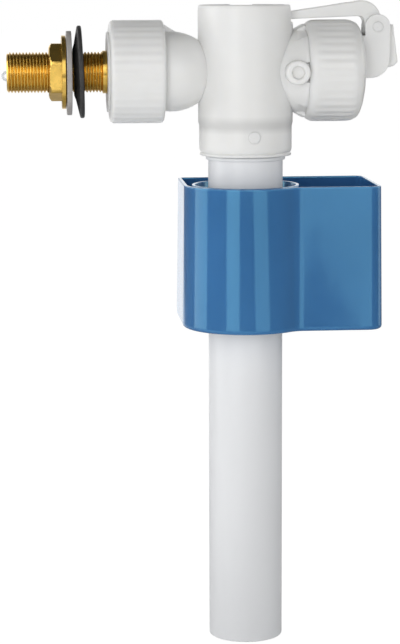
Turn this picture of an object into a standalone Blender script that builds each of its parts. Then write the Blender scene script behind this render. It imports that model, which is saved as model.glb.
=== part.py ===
"""Side-inlet toilet fill valve with a float cup that slides along its down pipe.

Metres, +Z up. The origin is on the axis of the brass inlet, at the plane of the cistern
wall. +X runs into the cistern and +Y runs to the back of the valve.
Run with: blender --background --python part.py
"""

import math

import bmesh
import bpy
from mathutils import Matrix, Vector

MM = 0.001
WELD = 0.002 * MM

# Clearances between pieces
SEAT_GAP = 0.3 * MM
THREAD_GAP = 0.45 * MM
SLIDE_GAP = 0.35 * MM

# Facets round a turned piece
LARGE_COUNT = 36
MEDIUM_COUNT = 28
SMALL_COUNT = 16

# Brass inlet shank, a G 3/8 thread at its real major diameter
SHANK_RADIUS = 8.33 * MM
SHANK_WALL = 2.13 * MM
SHANK_OUTER_END = -26.5 * MM
SHANK_CHAMFER = 0.8 * MM
SHOULDER_STEP = 0.47 * MM
SHOULDER_START = 12.3 * MM
SHOULDER_LENGTH = 2.6 * MM
TAIL_FLANGE_RADIUS = 13.0 * MM
TAIL_FLANGE_THICK = 2.8 * MM
RESTRICTOR_SEAT_STEP = 1.4 * MM
RESTRICTOR_SEAT_DEPTH = 1.5 * MM

# Filter basket inside the shank, with its pull ring
FILTER_HEAD_THICK = 1.6 * MM
FILTER_INSET = 0.2 * MM
FILTER_WALL = 0.8 * MM
FILTER_BASKET_STEP = 1.1 * MM
FILTER_TAPER = 1.0 * MM
FILTER_LENGTH = 22.0 * MM
FILTER_SLOT_WIDTH = 1.8 * MM
FILTER_BAR_WIDTH = 1.5 * MM
PULL_RING_RADIUS = 2.1 * MM
PULL_RING_HOLE = 1.0 * MM
PULL_RING_DROP = 1.4 * MM

# Flow restrictor
RESTRICTOR_LENGTH = 6.0 * MM
RESTRICTOR_HOLE = 2.0 * MM

# Flanged lock nut
NUT_FLANGE_RADIUS = 15.0 * MM
NUT_FLANGE_THICK = 1.7 * MM
NUT_HEX_THICK = 5.3 * MM
NUT_ACROSS_FLATS = 21.3 * MM
NUT_CORNER_RADIUS = 11.9 * MM
NUT_CHAMFER = 1.1 * MM
NUT_TURN = math.radians(8.4)

# Flat washer and rubber cone seal either side of the cistern wall
WASHER_RADIUS = 17.2 * MM
WASHER_THICK = 2.1 * MM
SEAL_HUB_STEP = 1.27 * MM
SEAL_SHOULDER_STEP = 1.6 * MM
SEAL_RADIUS = 18.9 * MM
SEAL_THICK = 3.9 * MM
SEAL_SHOULDER_AT = 0.6 * MM
SEAL_BRIM_THICK = 1.8 * MM
SEAL_STANDOFF = 0.7 * MM
SEAL_TILT = math.radians(1.7)

# Grip flutes, the same on the coupling nut and the cap
FLUTE_COUNT = 32
FLUTE_POINTS = 3
FLUTE_DEPTH = 0.4 * MM
GRIP_CORNER = 0.9 * MM

# Coupling nut
COUPLING_RADIUS = 21.1 * MM
COUPLING_LENGTH = 22.4 * MM
COUPLING_FRONT_WALL = 2.6 * MM
COUPLING_WALL = 3.65 * MM
COUPLING_BOSS_STEP = 4.7 * MM
COUPLING_BOSS_LENGTH = 0.9 * MM
COUPLING_BOSS_START = 14.4 * MM
COUPLING_WASHER_THICK = 2.0 * MM

# Valve body: an upright cylinder on the pipe's axis, with a horn each side
BODY_X = 71.7 * MM
BODY_WALL = 1.8 * MM
BODY_TOP = 27.2 * MM
BODY_TOP_ROUND = 1.5 * MM
SKIRT_WALL = 3.4 * MM
SKIRT_STEP = 0.4 * MM
SKIRT_SLOPE = 2.0 * MM
SKIRT_TOP = -22.5 * MM
SKIRT_BOTTOM = -34.6 * MM
SKIRT_ROUND = 3.2 * MM
SKIRT_RIM_STEP = 0.2 * MM
SKIRT_RIM_HEIGHT = 1.3 * MM
DOME_STEP = 0.6 * MM
DOME_OVERLAP = 6.8 * MM
DOME_CUT_ANGLE = 68
DOME_CENTRE_REACH = 3.0 * MM
DOME_RIB_RISE = 2.8 * MM
DOME_RIB_LENGTH = 5.6 * MM
DOME_RIB_WIDTH = 3.0 * MM
FEED_BORE = 5.5 * MM
FEED_WALL = 1.8 * MM
PARTITION_TOP = 10.0 * MM
PARTITION_THICK = 2.2 * MM
CHAMBER_LEDGE = 1.5 * MM
BRANCH_RADIUS = 15.5 * MM
BRANCH_FLARE = 6.9 * MM
BRANCH_REACH = 23.2 * MM
FLANGE_STEP = 1.7 * MM
FLANGE_THICK = 1.2 * MM
BAYONET_GAP_COUNT = 6
BAYONET_GAP_WIDTH = 8.0 * MM
BAYONET_GAP_DEPTH = 1.7 * MM
OUTLET_SPIGOT_LENGTH = 7.9 * MM
OUTLET_SPIGOT_WALL = 2.8 * MM
RETURN_WALL = 1.7 * MM
BOSS_INSET = 3.7 * MM
BOSS_RADIUS = 4.9 * MM
BOSS_WALL = 2.3 * MM
BOSS_ROUND = 0.9 * MM
BOSS_HOLE_DEPTH = 1.6 * MM
BOSS_FRONT = -21.9 * MM

# Pipe, its seal and its silencer
PIPE_RADIUS = 15.5 * MM
PIPE_WALL = 1.5 * MM
PIPE_LENGTH = 226.0 * MM
PIPE_TOP = -14.0 * MM
PIPE_LIP_ROUND = 0.5 * MM
PIPE_BEAD_HEIGHT = 1.0 * MM
PIPE_BEAD_LENGTH = 1.4 * MM
PIPE_SEAL_THICK = 1.7 * MM
CATCH_RADIUS = 2.6 * MM
CATCH_Z = -26.3 * MM
CATCH_SIDE = 1.7 * MM
CATCH_PROUD = 0.2 * MM
SILENCER_LENGTH = 14.0 * MM
SILENCER_RING_WALL = 1.2 * MM
SILENCER_VANE_COUNT = 6
SILENCER_VANE = 1.2 * MM
SILENCER_HUB = 2.2 * MM

# Diaphragm, its rigid centre and the metering pin
DIAPHRAGM_RIM_THICK = 2.4 * MM
DIAPHRAGM_RIM_WIDTH = 2.5 * MM
DIAPHRAGM_WEB_THICK = 1.0 * MM
DIAPHRAGM_ROLL = 1.1 * MM
INSERT_SEAT_WIDTH = 0.5 * MM
INSERT_DISC_THICK = 2.1 * MM
INSERT_HUB_RADIUS = 3.0 * MM
INSERT_HUB_LENGTH = 1.4 * MM
METERING_PIN_RADIUS = 0.5 * MM
METERING_PIN_LENGTH = 11.0 * MM
METERING_SOCKET_RADIUS = 2.0 * MM
METERING_SOCKET_LENGTH = 1.7 * MM

# Cap with its pivot cheeks and pilot nozzle
CAP_RADIUS = 20.9 * MM
CAP_WALL = 3.2 * MM
CAP_GRIP_LENGTH = 18.1 * MM
CAP_DOME_STEP = 1.0 * MM
CAP_DOME_LENGTH = 4.5 * MM
CAP_DOME_TAPER = 2.1 * MM
CAP_LIP_CORNER = 1.8 * MM
CAP_DOME_LEAN = 80
CAP_CLAMP_WIDTH = 4.2 * MM
CAP_CHAMBER_DEPTH = 5.5 * MM
CHEEK_WALL = 3.0 * MM
CHEEK_THICK = 2.0 * MM
CHEEK_BOTTOM = -3.0 * MM
CHEEK_CORNER = 8.0 * MM
CHEEK_ROOT_TOP = 11.0 * MM
CHEEK_ROOT_DEPTH = 4.6 * MM
NOZZLE_Z = 5.0 * MM
NOZZLE_RADIUS = 2.2 * MM
NOZZLE_TIP_STEP = 0.7 * MM
NOZZLE_BORE = 0.7 * MM
NOZZLE_TIP_INSET = 0.7 * MM

# Lever: long arm into the body, short arm hanging behind the cheeks
PIVOT_REACH = 4.8 * MM
PIVOT_DROP = 3.0 * MM
PIN_RADIUS = 2.2 * MM
LEVER_WIDTH = 7.8 * MM
LEVER_TRAVEL = math.radians(7.0)
LEVER_EDGE = 0.35 * MM
LEVER_NOTCH_GAP = 4.1 * MM
LEVER_NOTCH_DROP = 1.1 * MM
ARM_CAP_GAP = 0.4 * MM
ARM_RISE = 1.0 * MM
ARM_ROOT_THICK = 6.4 * MM
ARM_ROOT_REACH = 7.7 * MM
ARM_MOUTH_GAP = 0.7 * MM
ARM_MOUTH_THICK = 3.4 * MM
ARM_BEND_RADIUS = 8.1 * MM
SHORT_ARM_REACH = 6.7 * MM
SHORT_ARM_BACK_RISE = 0.9 * MM
SHORT_ARM_THICK = 4.7 * MM
SHORT_ARM_BOTTOM = 1.3 * MM
FORK_Z = 21.0 * MM
FORK_THICK = 2.4 * MM
FORK_LENGTH = 10.4 * MM
FORK_TIP = 4.1 * MM
PAD_OVERLAP = 0.4 * MM
PAD_THICK = 2.2 * MM

# Float rod and the level adjusting screw
ROD_WIDTH = 8.0 * MM
ROD_THICK = 2.3 * MM
ROD_BACK_GAP = 0.65 * MM
ROD_ARM_BOTTOM = 13.0 * MM
ROD_ARM_FRONT = -4.4 * MM
ROD_FOOT_LEG = 1.8 * MM
ROD_FOOT_DEPTH = 9.0 * MM
ROD_FOOT_CROWN = 3.0 * MM
GUIDE_WALL = 2.0 * MM
GUIDE_BOTTOM = SKIRT_TOP + 1.0 * MM
SCREW_RADIUS = 2.0 * MM
SCREW_COLLAR_WIDTH = 2.2 * MM
SCREW_COLLAR_THICK = 1.4 * MM
SCREW_HEAD_THICK = 2.1 * MM
SCREW_NECK_LENGTH = 3.5 * MM
SCREW_TIP = 10.7 * MM
SCREW_SLOT_WIDTH = 1.0 * MM
SCREW_SLOT_DEPTH = 1.1 * MM

# Float cup, open at the top, with a tube through it for the pipe
FLOAT_TOP = -46.8 * MM
FLOAT_HEIGHT = 59.7 * MM
FLOAT_WALL = 1.5 * MM
FLOAT_FLOOR = 1.8 * MM
FLOAT_DRAFT = 0.8 * MM
FLOAT_LOBE_GAP = 4.2 * MM
FLOAT_FRONT = 18.2 * MM
FLOAT_REACH = 55.9 * MM
FLOAT_BACK = 35.2 * MM
FLOAT_BLEND = 8.0 * MM
FLOAT_FRONT_CORNER = 6.5 * MM
FLOAT_BACK_CORNER = 5.5 * MM
FLOAT_LEFT_CORNER = 2.4 * MM
FLOAT_FOOT_ROUND = 1.2 * MM
FLOAT_TUBE_CLEARANCE = 2.4 * MM
FLOAT_TUBE_WALL = 1.4 * MM

# Sizes and places worked out from the ones above
SHANK_BORE = SHANK_RADIUS - SHANK_WALL
SHOULDER_RADIUS = SHANK_RADIUS + SHOULDER_STEP
RESTRICTOR_SEAT_RADIUS = SHANK_BORE + RESTRICTOR_SEAT_STEP
FILTER_BASKET_RADIUS = SHANK_BORE - FILTER_BASKET_STEP
FILTER_TIP_RADIUS = FILTER_BASKET_RADIUS - FILTER_TAPER
SEAL_HUB_RADIUS = SHANK_RADIUS + SEAL_HUB_STEP
SEAL_SHOULDER_RADIUS = SEAL_HUB_RADIUS + SEAL_SHOULDER_STEP
COUPLING_BOSS_RADIUS = COUPLING_RADIUS - COUPLING_BOSS_STEP
INLET_SPIGOT_RADIUS = COUPLING_RADIUS - COUPLING_WALL - THREAD_GAP
DOME_RADIUS = INLET_SPIGOT_RADIUS - DOME_STEP
FEED_RADIUS = FEED_BORE + FEED_WALL
INSERT_RADIUS = FEED_RADIUS + INSERT_SEAT_WIDTH
INSERT_HOLE = METERING_PIN_RADIUS + SLIDE_GAP
BOSS_HOLE = BOSS_RADIUS - BOSS_WALL
CHEEK_RADIUS = PIN_RADIUS + CHEEK_WALL
NOZZLE_TIP_RADIUS = NOZZLE_RADIUS - NOZZLE_TIP_STEP
PAD_RADIUS = NOZZLE_RADIUS + PAD_OVERLAP
SCREW_COLLAR_RADIUS = SCREW_RADIUS + SCREW_COLLAR_WIDTH
NUT_FLANGE_END = -WASHER_THICK - SEAT_GAP
TAIL_FLANGE_START = COUPLING_BOSS_START + COUPLING_BOSS_LENGTH + COUPLING_FRONT_WALL + SEAT_GAP
SHANK_INNER_END = TAIL_FLANGE_START + TAIL_FLANGE_THICK
INLET_SPIGOT_START = SHANK_INNER_END + COUPLING_WASHER_THICK + 2 * SEAT_GAP
COUPLING_END = COUPLING_BOSS_START + COUPLING_BOSS_LENGTH + COUPLING_LENGTH
DOME_START = COUPLING_END + SEAT_GAP
DOME_CENTRE = DOME_START + DOME_CENTRE_REACH
FLANGE_START = BODY_X + BRANCH_REACH
BRANCH_START = FLANGE_START - BRANCH_FLARE
BOSS_X = FLANGE_START - BOSS_INSET
SEAT_X = FLANGE_START + FLANGE_THICK + OUTLET_SPIGOT_LENGTH
CAP_START = FLANGE_START + FLANGE_THICK + SEAT_GAP
CAP_SHOULDER = SEAT_X + DIAPHRAGM_RIM_THICK + 2 * SEAT_GAP
CAP_INNER_END = CAP_SHOULDER + CAP_CHAMBER_DEPTH
CAP_DOME_X = CAP_START + CAP_GRIP_LENGTH + CAP_DOME_TAPER
CAP_END = CAP_DOME_X + CAP_DOME_LENGTH
CAP_DOME_START_RADIUS = CAP_RADIUS - CAP_DOME_STEP
FLANGE_RADIUS = CAP_RADIUS - FLANGE_STEP
OUTLET_SPIGOT_RADIUS = CAP_RADIUS - CAP_WALL - SEAT_GAP
RETURN_RADIUS = OUTLET_SPIGOT_RADIUS - OUTLET_SPIGOT_WALL
DIAPHRAGM_RADIUS = OUTLET_SPIGOT_RADIUS
CAP_CHAMBER_RADIUS = DIAPHRAGM_RADIUS - CAP_CLAMP_WIDTH
PIVOT_X = CAP_END + PIVOT_REACH
PIVOT_Z = CAP_RADIUS - PIVOT_DROP
NOZZLE_TIP = PIVOT_X - NOZZLE_TIP_INSET
ARM_MOUTH_BOTTOM = CAP_RADIUS + ARM_CAP_GAP
ARM_MOUTH_TOP = ARM_MOUTH_BOTTOM + ARM_MOUTH_THICK
ARM_ROOT_BOTTOM = ARM_MOUTH_BOTTOM + ARM_RISE
ARM_ROOT_TOP = ARM_ROOT_BOTTOM + ARM_ROOT_THICK
ARM_ROOT_X = PIVOT_X - ARM_ROOT_REACH
SHORT_ARM_BACK_X = PIVOT_X + SHORT_ARM_REACH
SHORT_ARM_BACK_TOP = PIVOT_Z + SHORT_ARM_BACK_RISE
SOCKET_RADIUS = PIPE_RADIUS + SEAT_GAP
CHAMBER_RADIUS = SOCKET_RADIUS - CHAMBER_LEDGE
PIPE_BEAD_RADIUS = PIPE_RADIUS + PIPE_BEAD_HEIGHT
PIPE_BOTTOM = PIPE_TOP - PIPE_LENGTH
SKIRT_RADIUS = SOCKET_RADIUS + SKIRT_WALL
BODY_RADIUS = SKIRT_RADIUS + SKIRT_STEP
ARM_MOUTH_X = BODY_X + BODY_RADIUS + ARM_MOUTH_GAP
SKIRT_RIM_RADIUS = SKIRT_RADIUS - SKIRT_RIM_STEP
CATCH_X = BODY_X + CATCH_SIDE
WASHER_HOLE_RADIUS = SHANK_RADIUS + 2 * SLIDE_GAP
SOCKET_TOP = PIPE_TOP + PIPE_SEAL_THICK + 2 * SEAT_GAP
ROD_FRONT = BODY_RADIUS + ROD_BACK_GAP
ROD_BACK = ROD_FRONT + ROD_THICK
CHEEK_GAP = LEVER_WIDTH + 2 * SEAT_GAP
FLOAT_BOTTOM = FLOAT_TOP - FLOAT_HEIGHT
FLOAT_TUBE_BORE = PIPE_BEAD_RADIUS + FLOAT_TUBE_CLEARANCE + ROD_FOOT_LEG + SEAT_GAP
FLOAT_TUBE_RADIUS = FLOAT_TUBE_BORE + FLOAT_TUBE_WALL
FLOAT_LOBE_RADIUS = FLOAT_TUBE_RADIUS + FLOAT_LOBE_GAP
SCREW_NECK_BOTTOM = FORK_Z - SCREW_NECK_LENGTH / 2


def clear_scene():
    """Start from an empty file."""
    for old in list(bpy.data.objects):
        bpy.data.objects.remove(old, do_unlink=True)


def make_material(name, colour, roughness, metallic=0.0):
    """A Principled material with the colour seen on the real piece."""
    material = bpy.data.materials.new(name)
    material.use_nodes = True
    shader = material.node_tree.nodes["Principled BSDF"]
    shader.inputs["Base Color"].default_value = (*colour, 1.0)
    shader.inputs["Roughness"].default_value = roughness
    shader.inputs["Metallic"].default_value = metallic
    material.diffuse_color = (*colour, 1.0)
    return material


def make_empty(name, location, turn=0.0):
    """A frame to hang pieces on, turned about Y."""
    empty = bpy.data.objects.new(name, None)
    empty.location = location
    empty.rotation_euler = (0.0, turn, 0.0)
    bpy.context.collection.objects.link(empty)
    return empty


def mesh_object(name, bm, parent=None):
    """Turn a bmesh into an object with outward faces, hung on its parent's frame."""
    bmesh.ops.recalc_face_normals(bm, faces=bm.faces)
    mesh = bpy.data.meshes.new(name)
    bm.to_mesh(mesh)
    bm.free()
    piece = bpy.data.objects.new(name, mesh)
    bpy.context.collection.objects.link(piece)
    piece.parent = parent
    return piece


def skin(name, rings, parent=None, closed=False):
    """Join rings of points in turn; the open ends get one flat face each."""
    bm = bmesh.new()
    loops = [[bm.verts.new(point) for point in ring] for ring in rings]
    pairs = list(zip(loops, loops[1:]))
    if closed:
        pairs.append((loops[-1], loops[0]))
    for first, second in pairs:
        for i, corner in enumerate(first):
            j = (i + 1) % len(first)
            bm.faces.new((corner, first[j], second[j], second[i]))
    if not closed:
        bm.faces.new(loops[0])
        bm.faces.new(loops[-1])
    return mesh_object(name, bm, parent)


def circle(radius, height, count, depth=0.0):
    """Points round a circle; with a depth the last point of each flute drops by it."""
    points = []
    for i in range(count):
        angle = 2 * math.pi * i / count
        reach = radius - (depth if (i + 1) % FLUTE_POINTS == 0 else 0.0)
        points.append((reach * math.cos(angle), reach * math.sin(angle), height))
    return points


def turned(name, profile, count, parent=None):
    """Turn a closed (radius, height) outline about local Z; flat ends stay one face."""
    solid = profile[0][0] == 0.0 and profile[-1][0] == 0.0
    rings = [circle(radius, height, count) for radius, height in profile if radius > 0.0]
    return skin(name, rings, parent, closed=not solid)


def tube_profile(outer, inner, low, high):
    """The outline of a plain ring."""
    return [(outer, low), (outer, high), (inner, high), (inner, low)]


def rod_profile(radius, low, high):
    """The outline of a plain cylinder."""
    return [(0.0, low), (radius, low), (radius, high), (0.0, high)]


def arc(centre, radius, start, end, steps):
    """Points along an arc in the plane, angles in degrees."""
    return [(centre[0] + radius * math.cos(math.radians(start + (end - start) * i / steps)),
             centre[1] + radius * math.sin(math.radians(start + (end - start) * i / steps)))
            for i in range(steps + 1)]


def plate(name, outline, low, high, parent=None):
    """Extrude an (x, z) outline along Y."""
    rings = [[(x, y, z) for x, z in outline] for y in (low, high)]
    return skin(name, rings, parent)


def block(name, low, high, parent=None):
    """A box between two corners."""
    outline = [(low[0], low[2]), (high[0], low[2]), (high[0], high[2]), (low[0], high[2])]
    return plate(name, outline, low[1], high[1], parent)


def combine(target, operation, *others):
    """Apply one Boolean after another and delete the pieces used."""
    for other in others:
        step = target.modifiers.new(operation.title(), "BOOLEAN")
        step.operation = operation
        step.solver = "EXACT"
        step.object = other
    bpy.context.view_layer.update()
    graph = bpy.context.evaluated_depsgraph_get()
    mesh = bpy.data.meshes.new_from_object(target.evaluated_get(graph))
    target.modifiers.clear()
    target.data = mesh
    bm = bmesh.new()
    bm.from_mesh(mesh)
    bmesh.ops.remove_doubles(bm, verts=bm.verts, dist=WELD)
    bmesh.ops.dissolve_degenerate(bm, edges=bm.edges, dist=WELD)
    bm.to_mesh(mesh)
    bm.free()
    for other in others:
        bpy.data.objects.remove(other, do_unlink=True)


def bevel(piece, width, segments=1):
    """Round the sharp edges of a piece."""
    step = piece.modifiers.new("Bevel", "BEVEL")
    step.width = width
    step.segments = segments
    step.limit_method = "ANGLE"
    step.angle_limit = math.radians(35)
    combine(piece, "UNION")


def finish(piece, material, smooth=True):
    """Give a piece its material and smooth its round faces."""
    piece.data.materials.clear()
    piece.data.materials.append(material)
    if smooth:
        piece.data.shade_smooth()
        piece.data.set_sharp_from_angle(angle=math.radians(32))


def turn_across(piece, x, z):
    """Lay a piece that was turned about Z along Y, at a place in the XZ plane."""
    piece.rotation_euler = (math.radians(-90), 0.0, 0.0)
    piece.location = (x, 0.0, z)


# Inlet pieces, all turned about the inlet axis, where local Z is world X


def make_shank(axis, material):
    """Threaded brass tube with a shoulder and the flange that the coupling nut holds."""
    shoulder_end = SHOULDER_START + SHOULDER_LENGTH
    seat = SHANK_INNER_END - RESTRICTOR_SEAT_DEPTH
    profile = [
        (SHANK_BORE, SHANK_OUTER_END),
        (SHANK_RADIUS - SHANK_CHAMFER, SHANK_OUTER_END),
        (SHANK_RADIUS, SHANK_OUTER_END + SHANK_CHAMFER),
        (SHANK_RADIUS, SHOULDER_START),
        (SHOULDER_RADIUS, SHOULDER_START + SHOULDER_RADIUS - SHANK_RADIUS),
        (SHOULDER_RADIUS, shoulder_end),
        (SHANK_RADIUS, shoulder_end),
        (SHANK_RADIUS, TAIL_FLANGE_START),
        (TAIL_FLANGE_RADIUS, TAIL_FLANGE_START),
        (TAIL_FLANGE_RADIUS, SHANK_INNER_END),
        (RESTRICTOR_SEAT_RADIUS, SHANK_INNER_END),
        (RESTRICTOR_SEAT_RADIUS, seat),
        (SHANK_BORE, seat),
    ]
    finish(turned("inlet_shank", profile, MEDIUM_COUNT, axis), material)


def make_filter(axis, material):
    """Basket with long slots, a barred head and a ring to pull it out by."""
    head = SHANK_OUTER_END + FILTER_INSET
    head_radius = SHANK_BORE - SEAT_GAP
    tip = head + FILTER_LENGTH
    basket = turned("inlet_filter", [
        (0.0, tip), (FILTER_TIP_RADIUS, tip),
        (FILTER_BASKET_RADIUS, head + FILTER_HEAD_THICK),
        (head_radius, head + FILTER_HEAD_THICK), (head_radius, head),
        (FILTER_BASKET_RADIUS - FILTER_WALL, head),
        (FILTER_TIP_RADIUS - FILTER_WALL, tip - FILTER_WALL),
        (0.0, tip - FILTER_WALL),
    ], SMALL_COUNT, axis)
    half_slot = FILTER_SLOT_WIDTH / 2
    slot_low = head + 2 * FILTER_HEAD_THICK
    slot_high = tip - 2 * FILTER_WALL
    reach = FILTER_BASKET_RADIUS + FILTER_WALL
    slots = [block("slot_a", (-reach, -half_slot, slot_low), (reach, half_slot, slot_high), axis),
             block("slot_b", (-half_slot, -reach, slot_low), (half_slot, reach, slot_high), axis)]
    combine(basket, "DIFFERENCE", *slots)
    half_bar = FILTER_BAR_WIDTH / 2
    bar_reach = FILTER_BASKET_RADIUS - FILTER_WALL / 2
    bar = block("bar", (-bar_reach, -half_bar, head),
                (bar_reach, half_bar, head + FILTER_HEAD_THICK), axis)
    root = head + half_bar
    stem = PULL_RING_RADIUS * 0.8
    outline = arc((PULL_RING_DROP, head - SEAT_GAP), PULL_RING_RADIUS, 180, 360, 10)
    outline += [(PULL_RING_DROP + stem, root), (PULL_RING_DROP - stem, root)]
    ring = plate("ring", outline, -half_bar + 0.1 * MM, half_bar - 0.1 * MM, axis)
    hole = turned("hole", rod_profile(PULL_RING_HOLE, -FILTER_BAR_WIDTH, FILTER_BAR_WIDTH),
                  SMALL_COUNT, axis)
    hole.rotation_euler = (math.radians(-90), 0.0, 0.0)
    hole.location = (PULL_RING_DROP, 0.0, head - SEAT_GAP)
    combine(ring, "DIFFERENCE", hole)
    combine(basket, "UNION", bar, ring)
    finish(basket, material)


def make_restrictor(axis, material):
    """Lipped plug with a small hole, held by the washer at the inner end of the shank."""
    lip = SHANK_INNER_END - RESTRICTOR_SEAT_DEPTH + SEAT_GAP
    lip_radius = RESTRICTOR_SEAT_RADIUS - SEAT_GAP
    body_radius = SHANK_BORE - SEAT_GAP
    profile = [
        (RESTRICTOR_HOLE, SHANK_INNER_END), (lip_radius, SHANK_INNER_END), (lip_radius, lip),
        (body_radius, lip), (body_radius, SHANK_INNER_END - RESTRICTOR_LENGTH),
        (RESTRICTOR_HOLE, SHANK_INNER_END - RESTRICTOR_LENGTH),
    ]
    finish(turned("flow_restrictor", profile, SMALL_COUNT, axis), material)


def make_lock_nut(axis, material):
    """Hexagon with a chamfered outer face on a round flange."""
    hex_start = NUT_FLANGE_END - NUT_FLANGE_THICK - NUT_HEX_THICK
    corner = NUT_ACROSS_FLATS / 2 / math.cos(math.pi / 6)
    hexagon = skin("lock_nut", [
        [(corner * math.cos(NUT_TURN + math.pi / 3 * i),
          corner * math.sin(NUT_TURN + math.pi / 3 * i), height) for i in range(6)]
        for height in (hex_start, NUT_FLANGE_END - NUT_FLANGE_THICK / 2)
    ], axis)
    slope_start = corner - 2 * NUT_CHAMFER
    slope_end = hex_start + (NUT_CORNER_RADIUS - slope_start) / 2
    cone = turned("cone", [
        (0.0, hex_start - MM), (slope_start - 2 * MM, hex_start - MM),
        (NUT_CORNER_RADIUS, slope_end), (NUT_CORNER_RADIUS, MM), (0.0, MM),
    ], 2 * LARGE_COUNT, axis)
    combine(hexagon, "INTERSECT", cone)
    flange = turned("flange", rod_profile(NUT_FLANGE_RADIUS, NUT_FLANGE_END - NUT_FLANGE_THICK,
                                          NUT_FLANGE_END), LARGE_COUNT, axis)
    combine(hexagon, "UNION", flange)
    bore = turned("bore", rod_profile(SHANK_RADIUS + SEAT_GAP, hex_start - MM, MM),
                  MEDIUM_COUNT, axis)
    combine(hexagon, "DIFFERENCE", bore)
    finish(hexagon, material)


def make_flat_washer(axis, material):
    """Washer that bears on the outside of the cistern wall; its loose hole lets it hang."""
    edge = WASHER_THICK / 5
    profile = [
        (WASHER_HOLE_RADIUS, 0.0), (WASHER_RADIUS - edge, 0.0), (WASHER_RADIUS, -edge),
        (WASHER_RADIUS, -WASHER_THICK + edge), (WASHER_RADIUS - edge, -WASHER_THICK),
        (WASHER_HOLE_RADIUS, -WASHER_THICK),
    ]
    washer = turned("flat_washer", profile, LARGE_COUNT, axis)
    washer.location = (SLIDE_GAP, 0.0, 0.0)
    finish(washer, material)


def make_cone_seal(axis, material):
    """Rubber cone whose hub centres in the wall's hole; it hangs a little askew."""
    bore = SHANK_RADIUS + 2 * SEAT_GAP
    edge = SEAL_BRIM_THICK / 5
    brim = SEAL_THICK - SEAL_BRIM_THICK
    profile = [
        (bore, 0.0), (SEAL_HUB_RADIUS, 0.0), (SEAL_SHOULDER_RADIUS, SEAL_SHOULDER_AT),
        (SEAL_RADIUS - edge, brim), (SEAL_RADIUS, brim + edge),
        (SEAL_RADIUS, SEAL_THICK - edge), (SEAL_RADIUS - edge, SEAL_THICK), (bore, SEAL_THICK),
    ]
    seal = turned("cone_seal", profile, LARGE_COUNT, axis)
    seal.location = (0.0, 0.0, SEAL_STANDOFF)
    seal.rotation_euler = (0.0, -SEAL_TILT, 0.0)
    finish(seal, material)


def make_coupling_nut(axis, material):
    """Fluted union nut that pulls the shank's flange against the body."""
    count = FLUTE_COUNT * FLUTE_POINTS
    start = COUPLING_BOSS_START + COUPLING_BOSS_LENGTH
    hole = SHOULDER_RADIUS + SEAT_GAP
    inside = INLET_SPIGOT_RADIUS + THREAD_GAP
    wall_end = start + COUPLING_FRONT_WALL
    rings = [
        circle(COUPLING_BOSS_RADIUS, COUPLING_BOSS_START, count),
        circle(COUPLING_BOSS_RADIUS, start, count),
        circle(COUPLING_RADIUS - FLUTE_DEPTH - GRIP_CORNER, start, count),
        circle(COUPLING_RADIUS, start + GRIP_CORNER, count, FLUTE_DEPTH),
        circle(COUPLING_RADIUS, COUPLING_END - GRIP_CORNER, count, FLUTE_DEPTH),
        circle(COUPLING_RADIUS - FLUTE_DEPTH - GRIP_CORNER, COUPLING_END, count),
    ]
    nut = skin("coupling_nut", rings, axis)
    room = turned("room", [
        (0.0, COUPLING_BOSS_START - MM), (hole, COUPLING_BOSS_START - MM), (hole, wall_end),
        (inside, wall_end), (inside, COUPLING_END + MM), (0.0, COUPLING_END + MM),
    ], LARGE_COUNT, axis)
    combine(nut, "DIFFERENCE", room)
    finish(nut, material)


def make_coupling_washer(axis, material):
    """Rubber washer between the shank's flange and the body."""
    low = SHANK_INNER_END + SEAT_GAP
    profile = tube_profile(TAIL_FLANGE_RADIUS, SHANK_BORE, low, low + COUPLING_WASHER_THICK)
    finish(turned("coupling_washer", profile, MEDIUM_COUNT, axis), material)


# Valve body


def body_shell(parent):
    """Upright cylinder with a rounded top rim, and a narrower skirt that draws in to its rim."""
    rim_top = SKIRT_BOTTOM + SKIRT_RIM_HEIGHT
    waist = arc((SKIRT_RADIUS - SKIRT_ROUND, rim_top + SKIRT_ROUND * math.sin(math.radians(50))),
                SKIRT_ROUND, -50, 0, 3)
    top = arc((BODY_RADIUS - BODY_TOP_ROUND, BODY_TOP - BODY_TOP_ROUND), BODY_TOP_ROUND, 0, 90, 4)
    profile = [(0.0, SKIRT_BOTTOM), (SKIRT_RIM_RADIUS, SKIRT_BOTTOM), (SKIRT_RIM_RADIUS, rim_top)]
    profile += waist
    profile += [(SKIRT_RADIUS, SKIRT_TOP), (BODY_RADIUS, SKIRT_TOP + SKIRT_SLOPE)]
    profile += top + [(0.0, BODY_TOP)]
    return turned("valve_body", profile, LARGE_COUNT, parent)


def inlet_horn(axis):
    """Spigot under the coupling nut, then a dome that runs into the cylinder."""
    steps = 6
    reach = BODY_X - BODY_RADIUS + DOME_OVERLAP - DOME_CENTRE
    first = math.asin((DOME_START - DOME_CENTRE) / reach)
    last = math.radians(DOME_CUT_ANGLE)
    dome = []
    for i in range(steps + 1):
        lean = first + (last - first) * i / steps
        dome.append((DOME_RADIUS * math.cos(lean), DOME_CENTRE + reach * math.sin(lean)))
    edge = 0.8 * MM
    profile = [(0.0, INLET_SPIGOT_START), (INLET_SPIGOT_RADIUS - edge, INLET_SPIGOT_START),
               (INLET_SPIGOT_RADIUS, INLET_SPIGOT_START + edge),
               (INLET_SPIGOT_RADIUS, DOME_START)] + dome + [(0.0, dome[-1][1])]
    return turned("inlet_horn", profile, LARGE_COUNT, axis)


def dome_rib():
    """Small rib on top of the dome, behind the coupling nut."""
    half = DOME_RIB_WIDTH / 2
    foot = DOME_RADIUS * 0.6
    end = DOME_START + DOME_RIB_LENGTH
    outline = [(DOME_START, foot), (end, foot), (end, DOME_RADIUS - 0.6 * MM),
               (DOME_START, DOME_RADIUS + DOME_RIB_RISE)]
    return plate("rib", outline, -half, half)


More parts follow.
